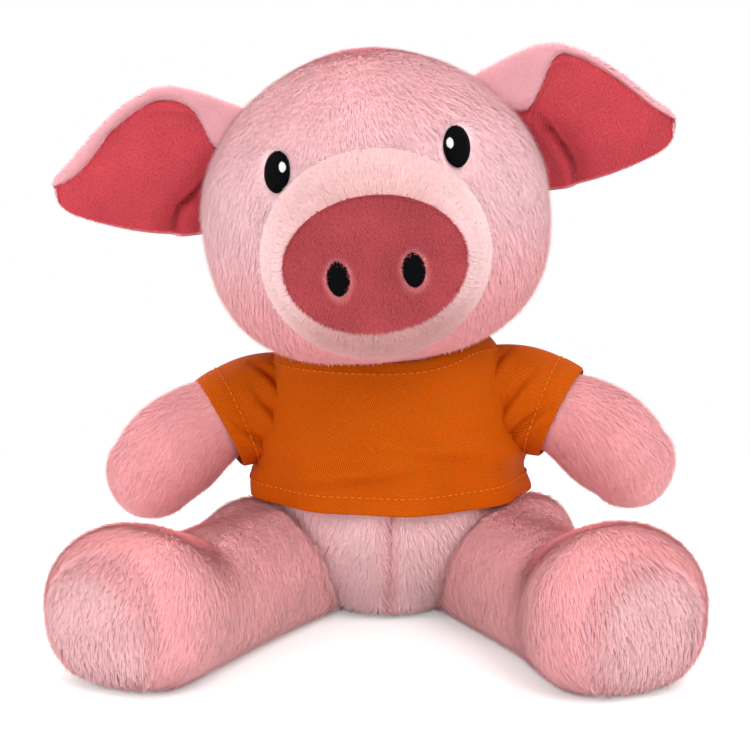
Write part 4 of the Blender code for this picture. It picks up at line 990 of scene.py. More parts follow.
def build_arm(side):
    facets = 72
    tip, length = arm_radius(1.0), arm_length(side)
    stations = [(-ARM_ROOT_RADIUS * math.cos(a), ARM_ROOT_RADIUS * math.sin(a))
                for a in np.linspace(0.1, 1.45, 8)]
    stations += [(share * length, arm_radius(share)) for share in np.linspace(0, 1, 36)]
    stations += [(length + tip * math.sin(a), tip * math.cos(a)) for a in np.linspace(0.08, 1.5, 16)]
    rings = []
    for place, radius in stations:
        centre, _, across, up = arm_frame(side, place / length)
        rings.append(oval_ring(centre, across, up, radius, radius, facets))
    skin = skin_over("arm_skin", rings)
    points = points_of(skin)
    reach = (points - shoulder(side)) @ arm_point(side, 0.8)[1] / length
    points = points + UP * (ARM_FUR_LIFT[side] * smooth(0.3, 0.9, reach))[:, None]
    points = clear_of_leg(points, side)
    points, hidden = clear_of_torso(points, shoulder(side), ARM_ROOT_RADIUS, (0, -SIDES[side], 0), -12, 30)
    set_points(skin, points)
    normals = normals_of(skin)
    ends = [arm_frame(side, share) for share in np.linspace(0, 1.2, 25)]
    centres = np.array([end[0] for end in ends])
    alongs = np.array([end[1] for end in ends])
    nearest = np.argmin(np.linalg.norm(points[:, None] - centres[None], axis=2), axis=1)
    comb = along_surface(alongs[nearest] - UP * 0.45, normals)
    share = np.linspace(0, 1.2, 25)[nearest]
    cover = ~hidden * smooth(CUFF - 0.09, CUFF - 0.03, share)
    length = PILE_LENGTH["arm"] * smooth(CUFF - 0.2, CUFF + 0.12, share)
    seed = 21 if side == "left" else 22
    dress(skin, f"arm_fur_{side}", "arm_" + side, ["arm_shell_" + side], "pink_pile", LIMB_PILE, "arm", seed,
          comb, cover, length, ARM_TINT, 0.9)


def leg_along(side):
    heading = math.radians(LEG_HEADING[side])
    return np.array((SIDES[side] * math.sin(heading), -math.cos(heading), 0.0))


def leg_half(share):
    foot = read_table(LEG_FOOT, min(1.0, max(0.0, share)))
    return tuple(LEG_RADIUS + foot * (size / 2 - LEG_RADIUS) for size in (FOOT_WIDTH, FOOT_HEIGHT))


def leg_skin(side):
    facets = 88
    along = leg_along(side)
    across = np.cross(along, UP)
    stations = [(-LEG_RADIUS * math.cos(a), math.sin(a), 0.0) for a in np.linspace(0.1, 1.45, 10)]
    stations += [(share * LEG_LENGTH, 1.0, share) for share in np.linspace(0, ROUND_START, 54)]
    for t in np.linspace(0.0, 1.0, 26)[1:]:
        reach = math.sin(t * math.pi / 2)
        place = LEG_LENGTH * (ROUND_START + (ROUND_END - ROUND_START) * reach)
        size = max(math.cos(t * math.pi / 2) ** 0.62, 0.02)
        stations.append((place, size, min(1.0, ROUND_START + 0.1 * t)))
    rings = []
    for place, size, share in stations:
        half_width, half_height = leg_half(share)
        foot = max(0.0, half_height - LEG_RADIUS) / (FOOT_HEIGHT / 2 - LEG_RADIUS)
        middle = math.exp(-(((share - 0.55) / 0.2) ** 2))
        half_width += FOOT_FUR * foot + LEG_FULLER[side] * middle
        half_height -= FUR_CROWN[side] * foot + ANKLE_DIP / 2 * math.exp(-(((share - 0.62) / 0.09) ** 2))
        centre = np.array((hip(side)[0], hip(side)[1], half_height - FLOOR_CUT)) + along * place
        angles = np.linspace(0, 2 * math.pi, facets, endpoint=False)
        level, wide = np.sin(angles), np.cos(angles)
        # The lower half is squarer, as a stuffed limb settles on the floor
        low = level < 0
        sink = np.abs(level) ** (2 / SETTLED_POWER)
        squarer = np.sign(wide) * np.maximum(1 - sink**SETTLED_POWER, 0) ** (1 / SETTLED_POWER)
        wide = np.where(low, squarer, wide)
        level = np.where(low, -sink, level)
        # The thigh bulges up and outwards beside the shirt's hem
        outer = np.arctan2(level, -wide * SIDES[side])
        bulge = np.exp(-(((outer - THIGH_TURN) / THIGH_SWEEP) ** 2))
        swell = math.exp(-(((place - THIGH_PLACE) / THIGH_SPREAD) ** 2))
        bulge = 1 + bulge * THIGH_BULGE[side] / LEG_RADIUS * swell
        wide, level = wide * bulge, level * bulge
        sideways = np.outer(wide, across) * (half_width * size)
        ring = centre + sideways + np.outer(level, UP) * (half_height * size)
        ring[:, 2] = np.maximum(ring[:, 2], 0.15 * MM)
        rings.append(ring)
    return skin_over("leg_skin", rings)


def build_leg(side):
    along = leg_along(side)
    across = np.cross(along, UP)
    for part in ("leg", "sole"):
        skin = leg_skin(side)
        points = points_of(skin)
        offset = points - hip(side)
        reach = offset @ along
        sole_centre = leg_half(1.0)[1] - FLOOR_CUT
        wide = (offset @ across) / (SOLE_WIDTH / 2)
        high = (points[:, 2] - sole_centre) / (SOLE_HEIGHT / 2)
        sole_share = np.hypot(wide, high)
        on_sole = reach > LEG_LENGTH * 0.9
        # The sole's seam draws in a crease all round
        crease = np.exp(-(((sole_share - 1.0) / 0.08) ** 2)) * on_sole
        points = points - along * (crease * 1.3 * MM)[:, None]
        points, hidden = clear_of_torso(points, hip(side), LEG_RADIUS, (0, 0, SIDES[side]), -8, 15)
        set_points(skin, points)
        keep_sole = on_sole & (sole_share < 1.02)
        keep = keep_sole if part == "sole" else ~keep_sole
        left = keep_part(skin, keep)
        points, hidden, sole_share, reach = points[left], hidden[left], sole_share[left], reach[left]
        normals = normals_of(skin)
        if part == "leg":
            comb = along_surface(np.tile(along, (len(points), 1)) * 0.6 - UP * 0.8, normals)
            cover = ~hidden * smooth(0.2 * MM, 2.2 * MM, points[:, 2])
            length = PILE_LENGTH["leg"]
            zone = 0.75 * smooth(0.8, 1.0, reach / LEG_LENGTH)
            finish, rise, gather = LIMB_PILE, 0.26, 0.1
            node, slot = "leg_shell_" + side, "pink_pile"
        else:
            outwards = np.outer(points @ across - hip(side) @ across, across)
            comb = along_surface(-UP * 0.9 + unit(outwards) * 0.15, normals)
            cover = 1.0
            length = PILE_LENGTH["sole"] * (1 - 0.3 * smooth(0.75, 1.0, sole_share))
            zone = np.exp(-(((sole_share - 0.3) / 0.35) ** 2)) * 0.6
            finish, rise, gather = SOLE_PILE, 0.36, 0.22
            node, slot = "foot_sole_" + side, "sole_pile"
        seed = (31 if side == "left" else 33) + (part == "sole")
        dress(skin, f"{part}_fur_{side}", "leg_" + side, [node], slot, finish, part, seed, comb, cover,
              length, zone, 0.9, rise=rise, gather=gather)


for each_side in SIDES:
    build_arm(each_side)
    build_leg(each_side)


# Ears

EAR_TOP_LINE = {
    "left": ((-0.2, 0.15), (0.1, 0.17), (0.16, 0.4), (0.24, 0.83), (0.3, 0.92), (0.44, 0.93), (0.65, 0.9),
             (0.81, 0.85), (0.92, 0.7), (1.0, 0.5)),
    "right": ((-0.2, 0.1), (-0.03, 0.2), (0.02, 0.5), (0.06, 0.76), (0.13, 0.83), (0.27, 0.88), (0.42, 0.86),
              (0.6, 0.82), (0.74, 0.6), (0.88, 0.35), (1.0, 0.2)),
}
EAR_CREASE = {
    "left": (
        (0.08, 0.28), (0.17, 0.13), (0.27, -0.12), (0.34, -0.39), (0.38, -0.6), (0.39, -0.8), (0.39, -1.0),
    ),
    "right": (
        (-0.1, 0.12), (0.05, -0.1), (0.16, -0.37), (0.26, -0.54), (0.29, -0.7), (0.31, -0.9), (0.31, -1.0),
    ),
}
LINING_CLOTH = 1.0 * MM
EAR_FULLER = {"left": 1.0, "right": 1.06}


def ear_axes(side):
    droop = math.radians(EAR_DROOP[side])
    outward = np.array((SIDES[side] * math.cos(droop), 0.0, -math.sin(droop)))
    upward = np.array((SIDES[side] * math.sin(droop), 0.0, math.cos(droop)))
    return np.array(EAR_ROOT[side]), outward, upward


def ear_top_line(side, along):
    table = EAR_TOP_LINE[side]
    return float(np.interp(along, [a for a, _ in table], [c for _, c in table]))


def ear_crease(side, along, across):
    """Distance from the ear's crease, positive on the tip's side of it, and the share of its way reached."""
    line = np.array(EAR_CREASE[side]) * (EAR_LENGTH, EAR_HEIGHT / 2)
    place = np.array((along * EAR_LENGTH, across * EAR_HEIGHT / 2))
    start, step = line[:-1], np.diff(line, axis=0)
    t = np.clip(np.sum((place - start) * step, axis=1) / np.sum(step * step, axis=1), 0, 1)
    gap = place - (start + step * t[:, None])
    reach = np.linalg.norm(gap, axis=1)
    i = int(np.argmin(reach))
    turn = step[i][0] * gap[i][1] - step[i][1] * gap[i][0]
    return math.copysign(reach[i], turn), (i + t[i]) / len(step)


def ear_point(side, along, across, lift=0.0):
    root, outward, upward = ear_axes(side)
    half = read_table(EAR_UPPER if across > 0 else EAR_LOWER, along)
    height = across * half * EAR_HEIGHT / 2 * (EAR_FULLER[side] if across > 0 else 1.0)
    forward = EAR_CUP * (2 * height / EAR_HEIGHT) ** 2 + EAR_SWEEP * max(0.0, along) ** 2 + lift
    crease, way = ear_crease(side, along, across)
    fade = float(smooth(0.6, 0.2, across) * smooth(-0.05, 0.4, way))
    valley = -3.4 * MM * math.exp(-((crease / (8 * MM)) ** 2))
    flap = 3.2 * MM * math.exp(-(((crease + 3.6 * MM) / (3.6 * MM)) ** 2))
    blend = float(smooth(-2.2 * MM, 0.9 * MM, crease))
    forward += (valley * blend + flap * (1 - blend)) * fade
    # A shallow hollow runs from the pleat towards the tip
    hollow = math.exp(-(((across - 0.35) / 0.3) ** 2))
    forward -= 1.6 * MM * hollow * float(smooth(0.05, 0.3, along) * smooth(0.95, 0.6, along))
    return root + outward * (along * EAR_LENGTH) + upward * height + np.array((0.0, -forward, 0.0))


def ear_skin(side, name, ends, thick, cover_line, lift, columns=44, rows=60):
    """A closed ear-shaped skin between two lengths, with a rounded rim."""
    rings, marks = [], []
    for along in np.linspace(*ends, rows):
        top = min(ear_top_line(side, along), 0.97) if cover_line else 1.0
        bottom = -0.95 if cover_line else -1.0
        ring, mark = [], []
        for face in (1, -1):
            for step in range(columns):
                t = -math.cos(math.pi * (step + 0.5) / columns)
                t = t if face == 1 else -t
                across = bottom + (top - bottom) * (t + 1) / 2
                half = thick / 2 * math.sqrt(max(0.0, 1 - t**8))
                ring.append(ear_point(side, along, across, lift(along, across, face) + face * half))
                mark.append((along, across, face))
        rings.append(as_points(HEAD_PLACE, ring))
        marks += mark
    skin = skin_over(name, rings)
    marks += [(ends[0], 0.0, 1), (ends[1], 0.0, 1)]
    return skin, np.array(marks)


def build_ear(side):
    def back_lift(along, across, face):
        if face < 0:
            return 0.0
        over = float(smooth(-0.01, 0.05, across - ear_top_line(side, along)))
        return over * 2.4 * MM - (1 - over) * 0.9 * MM

    def lining_lift(along, across, face):
        top = ear_top_line(side, along)
        rim = math.exp(-(((across - top + 0.07) / 0.05) ** 2)) * float(smooth(0.5, 0.2, along))
        return EAR_CLOTH / 2 + LINING_CLOTH / 2 + 1.6 * MM * rim * (face > 0)

    skin, marks = ear_skin(side, "ear_skin", (-0.33, 0.985), EAR_CLOTH, False, back_lift)
    points, normals = points_of(skin), normals_of(skin)
    _, outward, upward = ear_axes(side)
    turn = np.array(HEAD_PLACE.to_3x3())
    outward, upward = turn @ outward, turn @ upward
    tops = np.array([ear_top_line(side, along) for along in marks[:, 0]])
    band = smooth(-0.02, 0.05, marks[:, 1] - tops)
    cover = np.where(marks[:, 2] > 0, band, 1.0) * smooth(0.99, 1.01, in_head(points, -1.5 * MM))
    cover *= np.where(marks[:, 2] < 0, smooth(-1.0, -0.93, marks[:, 1]), 1.0)
    folded = ((marks[:, 2] > 0) & (marks[:, 0] < 0.3))[:, None]
    lean = np.where(folded, outward * 0.5 + upward * 0.8, outward + upward * 0.08)
    comb = along_surface(lean, normals)
    rim = smooth(1.0, 0.88, marks[:, 0]) * smooth(-1.0, -0.8, marks[:, 1])
    length = np.where(marks[:, 2] > 0, 2.8, 3.2) * MM * (0.35 + 0.65 * rim)
    seed = 41 if side == "left" else 42
    dress(skin, "ear_fur_" + side, "ear_" + side, ["ear_back_" + side], "pink_pile", EAR_FUR, "ear", seed,
          comb, cover, length, stray=0.5)

    skin, marks = ear_skin(side, "lining_skin", (-0.12, 0.972), LINING_CLOTH, True, lining_lift)
    points, normals = points_of(skin), normals_of(skin)
    lean = -outward * 0.45 - upward * 0.8
    comb = along_surface(np.tile(lean, (len(points), 1)), normals)
    inside = smooth(0.985, 1.0, in_head(points))
    # Zone tint: darker by the crease, on the lining's lower part, is painted shade in the fold.
    creases = np.array([ear_crease(side, along, across)[0] for along, across, _ in marks])
    zone = np.exp(-(((creases - 1.5 * MM) / (5 * MM)) ** 2)) * smooth(0.5, 0.1, marks[:, 1]) * 0.35
    dress(skin, "ear_plush_" + side, "ear_" + side, ["ear_lining_" + side], "ear_plush", EAR_PLUSH, "lining",
          seed + 2, comb, (marks[:, 2] > 0) * inside, PILE_LENGTH["lining"], zone, width=0.24 * MM, rise=0.8,
          scatter=0.28, gather=0.16, tuft=1.1 * MM, soft=0.9, stray=0.0)


for each_side in SIDES:
    build_ear(each_side)


# Sewn details: satin ovals and stitch rows

def thread_tree():
    """Threads: every run of edges becomes a round thread with closed ends."""
    tree, given, out = new_group(
        "satin_threads", "GeometryNodeTree",
        [("Geometry", "Geometry", None), ("Radius", "Float", 0.0002), ("Finish", "Material", None)],
        [("Geometry", "Geometry")])
    runs = make(tree, "GeometryNodeMeshToCurve", {"Mesh": given["Geometry"]})
    profile = make(tree, "GeometryNodeCurvePrimitiveCircle", {"Resolution": 6, "Radius": given["Radius"]})
    threads = make(tree, "GeometryNodeCurveToMesh", {
        "Curve": runs.outputs[0], "Profile Curve": profile.outputs[0], "Fill Caps": True})
    real = make(tree, "GeometryNodeRealizeInstances", {"Geometry": threads.outputs[0]})
    finish = make(tree, "GeometryNodeSetMaterial", {"Geometry": real.outputs[0], "Material": given["Finish"]})
    wire(tree, finish.outputs[0], out["Geometry"])
    return tree


def stitch_tree():
    """A row of equal stitches along every run of edges."""
    tree, given, out = new_group(
        "stitch_row", "GeometryNodeTree",
        [("Geometry", "Geometry", None), ("Stitch", "Object", None), ("Pitch", "Float", 0.00266),
         ("Finish", "Material", None)],
        [("Geometry", "Geometry")])
    runs = make(tree, "GeometryNodeMeshToCurve", {"Mesh": given["Geometry"]})
    even = make(tree, "GeometryNodeCurveToPoints", {"Curve": runs.outputs[0], "Length": given["Pitch"]},
                mode="LENGTH")
    stitch = make(tree, "GeometryNodeObjectInfo", {"Object": given["Stitch"]}, transform_space="ORIGINAL")
    placed = make(tree, "GeometryNodeInstanceOnPoints", {
        "Points": even.outputs["Points"], "Instance": stitch.outputs["Geometry"],
        "Rotation": even.outputs["Rotation"]})
    real = make(tree, "GeometryNodeRealizeInstances", {"Geometry": placed.outputs[0]})
    finish = make(tree, "GeometryNodeSetMaterial", {"Geometry": real.outputs[0], "Material": given["Finish"]})
    wire(tree, finish.outputs[0], out["Geometry"])
    return tree


def runs_object(name, runs):
    """An object of bare edges, one chain for each run of points."""
    points = [tuple(point) for run in runs for point in run]
    edges, start = [], 0
    for run in runs:
        edges += [(start + i, start + i + 1) for i in range(len(run) - 1)]
        start += len(run)
    mesh = bpy.data.meshes.new(name)
    mesh.from_pydata(points, edges, [])
    return add_object(name, mesh)


def through_nodes(item, tree, values):
    modifier = item.modifiers.new("made", "NODES")
    modifier.node_group = tree
    for label, value in values.items():
        set_input(modifier, label, value)
    plain_mesh(item)
    item.data.shade_smooth()
    return item


def stitch_mesh(length, radius):
    """One stitch: a short plump thread, along Z, with round ends."""
    rings = [oval_ring((0, 0, length / 2 * z), (1, 0, 0), (0, 1, 0), radius * r, radius * r, 6)
             for z, r in ((-0.92, 0.45), (-0.7, 0.85), (0.0, 1.0), (0.7, 0.85), (0.92, 0.45))]
    return skin_over("stitch", rings)


THREADS = thread_tree()
STITCHES = stitch_tree()
STITCH = stitch_mesh(2.0 * MM, 0.3 * MM)


def thread_colour_group():
    """Twisted thread: fine slanted strands, with a painted highlight on their crowns."""
    tree, given, out = new_group(
        "thread_colour", "ShaderNodeTree",
        [("Dark", "Color", (0.01, 0.01, 0.01, 1)), ("Light", "Color", (0.03, 0.03, 0.03, 1)),
         ("Strands", "Float", 2600.0)],
        LOOK_OUTPUTS)
    place = make(tree, "ShaderNodeTexCoord").outputs["Object"]
    strands = make(tree, "ShaderNodeTexWave", {"Vector": place, "Scale": given["Strands"], "Distortion": 1.5},
                   bands_direction="DIAGONAL")
    cloud = make(tree, "ShaderNodeTexNoise", {"Vector": place, "Scale": 600.0, "Detail": 3.0})
    share = number(tree, strands.outputs["Fac"], 0.5)
    share = number(tree, share, number(tree, cloud.outputs["Fac"], 0.5), "ADD")
    wire(tree, mix_colour(tree, share, given["Dark"], given["Light"]), out["Color"])
    roughen(tree, out, cloud.outputs["Fac"], 0.45, 0.75, strands.outputs["Fac"], 0.4, 0.0001)
    return tree


THREAD_COLOUR = thread_colour_group()


def thread_finish(name, dark, light, strands=2600.0, gloss=0.2):
    material, tree, shader = new_finish(name, 0.6, gloss=gloss)
    made = use_group(tree, THREAD_COLOUR, {
        "Dark": colour(*dark), "Light": colour(*light), "Strands": strands})
    feed(tree, made, shader)
    return material


BLACK_THREAD = thread_finish("black_thread", (1, 1, 2), (14, 13, 16), gloss=0.04)
WHITE_THREAD = thread_finish("white_thread", (225, 225, 228), (255, 255, 255))
ORANGE_THREAD = thread_finish("orange_thread", (206, 96, 12), (232, 126, 36), gloss=0.08)


def head_front_y(x, z):
    """How far forward the face is at a place of the head's frame."""
    power = CROWN_POWER if z > 0 else CHEEK_POWER
    share = (1 - min(1.0, abs(z) / (HEAD_HEIGHT / 2)) ** power) ** (1 / power)
    return -math.sqrt(max((share * HEAD_WIDTH / 2) ** 2 - x**2, 0.0))


def satin_oval(name, node, centre, width, height, surface, lift, finish, thread=0.19 * MM, tilt=0.0):
    """A padded oval of close threads, each laid from edge to edge across it."""
    runs = []
    count = int(height / (thread * 1.75))
    for row in range(count):
        level = (row + 0.5) / count * 2 - 1
        half = math.sqrt(1 - level**2) * width / 2
        run = []
        for step in range(13):
            t = step / 12 * 2 - 1
            x, z = centre[0] + half * t + tilt * level, centre[1] + level * height / 2
            crown = 1 - 0.55 * abs(t) ** 2.2 - 0.35 * level**4
            tuck = 0.0 if 0 < step < 12 else 1.6 * MM
            run.append((x, surface(x, z) - lift * crown + tuck, z))
        runs.append(as_points(HEAD_PLACE, run))
    threads = through_nodes(runs_object(name + "_threads", runs), THREADS,
                            {"Radius": thread, "Finish": finish})
    rings = []
    for share in (0.98, 1.0, 0.9, 0.65, 0.35, 0.08):
        ring = []
        for i in range(40):
            angle = 2 * math.pi * i / 40
            x = centre[0] + width / 2 * share * 0.97 * math.cos(angle) + tilt * share * math.sin(angle)
            z = centre[1] + height / 2 * share * 0.97 * math.sin(angle)
            sunk = 2.0 * MM if share == 0.98 else 0.0
            ring.append((x, surface(x, z) - lift * (0.8 - 0.5 * share**2) + sunk, z))
        rings.append(as_points(HEAD_PLACE, ring))
    pad = skin_over(name + "_pad", rings)
    pad.data.materials.append(finish)
    bpy.ops.object.select_all(action="DESELECT")
    threads.select_set(True)
    pad.select_set(True)
    bpy.context.view_layer.objects.active = threads
    bpy.ops.object.join()
    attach(threads, "head")
    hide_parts(node)
    threads.name = name
    return threads


def build_face():
    for side, sign in SIDES.items():
        centre = eye_place(side)
        satin_oval("eye_satin_" + side, "eye_" + side, centre, EYE_WIDTH, EYE_HEIGHT, head_front_y, 2.3 * MM,
                   BLACK_THREAD, tilt=EYE_TILT[side])
        dot = (centre[0] - sign * HIGHLIGHT_IN, centre[1] + HIGHLIGHT_UP)
        satin_oval("highlight_satin_" + side, "eye_highlight_" + side, dot, HIGHLIGHT_WIDTH,
                   HIGHLIGHT_WIDTH * 1.25, head_front_y, 3.1 * MM, WHITE_THREAD, 0.14 * MM)
        spot = (sign * NOSTRIL_SPACING / 2, -MUZZLE_DROP - NOSTRIL_DROP)
        satin_oval("nostril_satin_" + side, "nostril_" + side, spot, NOSTRIL_WIDTH * PADDED,
                   NOSTRIL_HEIGHT * PADDED, lambda x, z: snout_surface(x, z)[1], 0.9 * MM, BLACK_THREAD)


build_face()


# Shirt

def knit_group():
    """Fine knit: upright wales with staggered loops, seen by painted shade between the loops and by bump."""
    tree, given, out = new_group(
        "fine_knit", "ShaderNodeTree",
        [("Low", "Color", (0.4, 0.1, 0.0, 1)), ("High", "Color", (0.8, 0.25, 0.01, 1)),
         ("Wale", "Float", 0.00096), ("Course", "Float", 0.0011)],
        LOOK_OUTPUTS)
    place = make(tree, "ShaderNodeAttribute", attribute_name="cloth").outputs["Vector"]
    axes = make(tree, "ShaderNodeSeparateXYZ", {0: place})
    slant = number(tree, axes.outputs[1], 0.6)
    u = number(tree, number(tree, axes.outputs[0], slant, "ADD"), given["Wale"], "DIVIDE")
    v = number(tree, number(tree, axes.outputs[1], number(tree, axes.outputs[0], 0.35), "SUBTRACT"),
               given["Course"], "DIVIDE")
    column = make(tree, "ShaderNodeMath", {0: u}, operation="FLOOR").outputs[0]
    shifted = number(tree, v, number(tree, column, 0.5), "ADD")
    wale = make(tree, "ShaderNodeMath", {0: number(tree, u, math.pi)}, operation="SINE").outputs[0]
    wale = make(tree, "ShaderNodeMath", {0: wale}, operation="ABSOLUTE").outputs[0]
    loop = make(tree, "ShaderNodeMath", {0: number(tree, shifted, math.pi)}, operation="SINE").outputs[0]
    loop = make(tree, "ShaderNodeMath", {0: loop}, operation="ABSOLUTE").outputs[0]
    height = number(tree, wale, number(tree, number(tree, loop, 0.6), 0.4, "ADD"))
    solid = make(tree, "ShaderNodeTexCoord").outputs["Object"]
    cloud = make(tree, "ShaderNodeTexNoise", {"Vector": solid, "Scale": 900.0, "Detail": 3.0})
    wide = make(tree, "ShaderNodeTexNoise", {"Vector": solid, "Scale": 40.0, "Detail": 2.0})
    share = number(tree, number(tree, height, 0.75), number(tree, cloud.outputs["Fac"], 0.35), "ADD")
    tone = mix_colour(tree, share, given["Low"], given["High"])
    gain = make(tree, "ShaderNodeMapRange", {0: wide.outputs["Fac"], 3: 0.94, 4: 1.06}).outputs[0]
    bright = make(tree, "ShaderNodeVectorMath", {0: tone}, operation="SCALE")
    wire(tree, gain, bright.inputs["Scale"])
    wire(tree, bright.outputs[0], out["Color"])
    roughen(tree, out, height, 0.85, 0.6, height, 0.4, 0.0002)
    return tree


KNIT_LOOK = knit_group()


def knit_finish(name, low, high, wale=0.86 * MM, course=0.98 * MM):
    material, tree, shader = new_finish(name, 0.75, gloss=0.04)
    made = use_group(tree, KNIT_LOOK, {
        "Low": colour(*low), "High": colour(*high), "Wale": wale, "Course": course})
    feed(tree, made, shader)
    return material


ORANGE_KNIT = knit_finish("orange_knit", (136, 56, 2), (214, 94, 6))


def hem_height():
    return TORSO_HEIGHT - NECK_DROP - SHIRT_LENGTH


def shirt_point(angle, rise, lift):
    turn = math.radians(angle)
    top = TORSO_HEIGHT - NECK_DROP - NECK_DIP * max(0.0, -math.sin(turn)) ** 2
    top += COLLAR_RISE["side"] * max(0.0, math.cos(turn)) ** 2
    top += COLLAR_RISE["front"] * max(0.0, -math.sin(turn)) ** 2
    top += COLLAR_RISE["back"] * max(0.0, math.sin(turn)) ** 2
    top += COLLAR_RISE["corner"] * math.exp(-(((angle + 38) / 24) ** 2))
    height = hem_height() + (top - hem_height()) * rise
    half_width, half_depth = torso_sizes(height)
    ease = HEM_EASE + (NECK_EASE - HEM_EASE) * rise**2
    fold = FOLD_DEPTH * (1 - rise) ** 2 * (1 + math.cos(FOLDS * turn))
    out = ease + fold + lift
    return np.array(((half_width + out) * math.cos(turn), (half_depth + out) * math.sin(turn), height))


def edge_round(share, length, thick):
    """How much of the full thickness is left this near to an edge of a cloth."""
    gap = min(share, 1 - share) * length / (thick * 0.6)
    return 1.0 if gap >= 1 else math.sqrt(max(0.0, 1 - (1 - gap) ** 2))


def cloth_piece(name, surface, rows, columns, size, thick, finish):
    """A closed thin cloth over surface(along, up, lift), with rounded edges and its own lie of the knit."""
    near_edge = [0.0, 0.15, 0.4, 0.8, 1.3]
    def places(count, length):
        edge = [e * thick * 0.6 / length for e in near_edge]
        inner = list(np.linspace(edge[-1], 1 - edge[-1], count)[1:-1])
        return edge + inner + [1 - e for e in reversed(edge)]
    across, upward = places(columns, size[0]), places(rows, size[1])
    points, cloth = [], []
    for v in upward:
        for face in (1, -1):
            order = across if face == 1 else list(reversed(across))
            for u in order:
                half = thick / 2 * edge_round(u, size[0], thick) * edge_round(v, size[1], thick)
                half = max(half, 0.02 * MM)
                points.append(surface(u, v, thick / 2 + face * half))
                cloth.append((u * size[0], v * size[1], face))
    ring = 2 * len(across)
    faces, uv = [], []
    for row in range(len(upward) - 1):
        low, high = 0.06 + 0.88 * row / (len(upward) - 1), 0.06 + 0.88 * (row + 1) / (len(upward) - 1)
        for i in range(ring):
            j = (i + 1) % ring
            a, b = row * ring, (row + 1) * ring
            faces.append((a + i, a + j, b + j, b + i))
            uv += [(i / ring, low), ((i + 1) / ring, low), ((i + 1) / ring, high), (i / ring, high)]
    for row, flip in ((0, False), (len(upward) - 1, True)):
        base = row * ring
        low, high = (0.96, 1.0) if flip else (0.0, 0.04)
        for i in range(len(across) - 1):
            quad = (base + i, base + ring - 1 - i, base + ring - 2 - i, base + i + 1)
            corner = [(i / ring, low), (i / ring, high), ((i + 1) / ring, high), ((i + 1) / ring, low)]
            if flip:
                quad, corner = quad[::-1], corner[::-1]
            faces.append(quad)
            uv += corner
    item = face_outwards(mesh_object(name, points, faces, uv))
    put(item, "cloth", np.array(cloth))
    item.data.materials.append(finish)
    return item


def shirt_drape(angle, rise):
    """How far the cloth stands off its plain form: drag folds low on the front, waves at the sides."""
    turn = math.radians(angle)
    front = max(0.0, -math.sin(turn))
    beside = abs(math.cos(turn)) ** 3
    x = math.cos(turn)
    sag = 1.5 * math.exp(-(((rise - 0.3 - 0.12 * x) / 0.07) ** 2)) * math.exp(-(((x + 0.35) / 0.45) ** 2))
    sag += 1.1 * math.exp(-(((rise - 0.47 + 0.15 * x) / 0.06) ** 2)) * math.exp(-(((x - 0.3) / 0.4) ** 2))
    waves = 1.6 * math.sin(rise * 19 + 1.0 + x) * beside * math.exp(-(((rise - 0.28) / 0.26) ** 2))
    pull = 1.0 * math.sin(x * 9 + rise * 4) * front * rise * (1 - rise) * 2
    hem = 1.3 * math.exp(-((rise / 0.09) ** 2)) * (0.6 + 0.4 * math.cos(5 * turn + 1))
    tuck = -1.6 * beside * math.exp(-((rise / 0.16) ** 2))
    return (2.2 * sag * front + waves + 1.4 * pull + hem + tuck) * MM


def stitch_row(name, runs):
    return through_nodes(runs_object(name, runs), STITCHES,
                         {"Stitch": STITCH, "Pitch": STITCH_PITCH, "Finish": ORANGE_THREAD})


def build_shirt():
    overlap = math.degrees(CLOSURE_OVERLAP / 2 / (TORSO_DEPTH / 2))
    flap = KNIT + 2 * CLOSURE_CLOTH + 0.9 * MM
    panels = (
        ("shirt_front_cloth", "shirt_front", -180.0, 0.0, 0.0, FRONT_FLAT),
        ("shirt_back_right_cloth", "shirt_back_right", 90.0 - overlap, 180.0, 0.0, BACK_FLAT),
        ("shirt_back_left_cloth", "shirt_back_left", 0.0, 90.0 + overlap, flap, BACK_FLAT),
    )
    for name, node, start, end, over, size in panels:
        def surface(u, v, lift, start=start, end=end, over=over):
            angle = start + (end - start) * u
            near = float(smooth(0.35, 0.75, u)) if over else 0.0
            hemmed = 0.35 * MM * float(smooth(0.14, 0.11, v) + smooth(0.9, 0.925, v))
            return shirt_point(angle, v, lift + over * near + shirt_drape(angle, v) + hemmed)
        item = cloth_piece(name, surface, 60, 150 if over == 0 and start < 0 else 80, size, KNIT, ORANGE_KNIT)
        runs = []
        for level in (HEM_LEVEL, NECK_HEM_LEVEL):
            runs.append([surface(u, level, KNIT + 0.2 * MM) for u in np.linspace(0.005, 0.995, 260)])
        stitches = stitch_row(name + "_stitches", runs)
        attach(item, "torso")
        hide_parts(node)
        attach(stitches, "torso")


def sleeve_point(side, turn, share, lift):
    centre, _, across, up = arm_frame(side, share)
    slack = SLEEVE_ROOT_EASE + (SLEEVE_EASE - SLEEVE_ROOT_EASE) * max(0.0, min(1.0, share / CUFF))
    ripple = math.sin(math.pi * max(0.0, min(1.0, share / CUFF)))
    radius = arm_radius(share) + slack + lift + 0.8 * MM * ripple * (1 + math.cos(5 * turn)) / 2
    centre = centre - UP * (slack - SEAM_GAP - SLEEVE_LIFT[side])
    return centre + across * (radius * math.cos(turn)) + up * (radius * math.sin(turn))


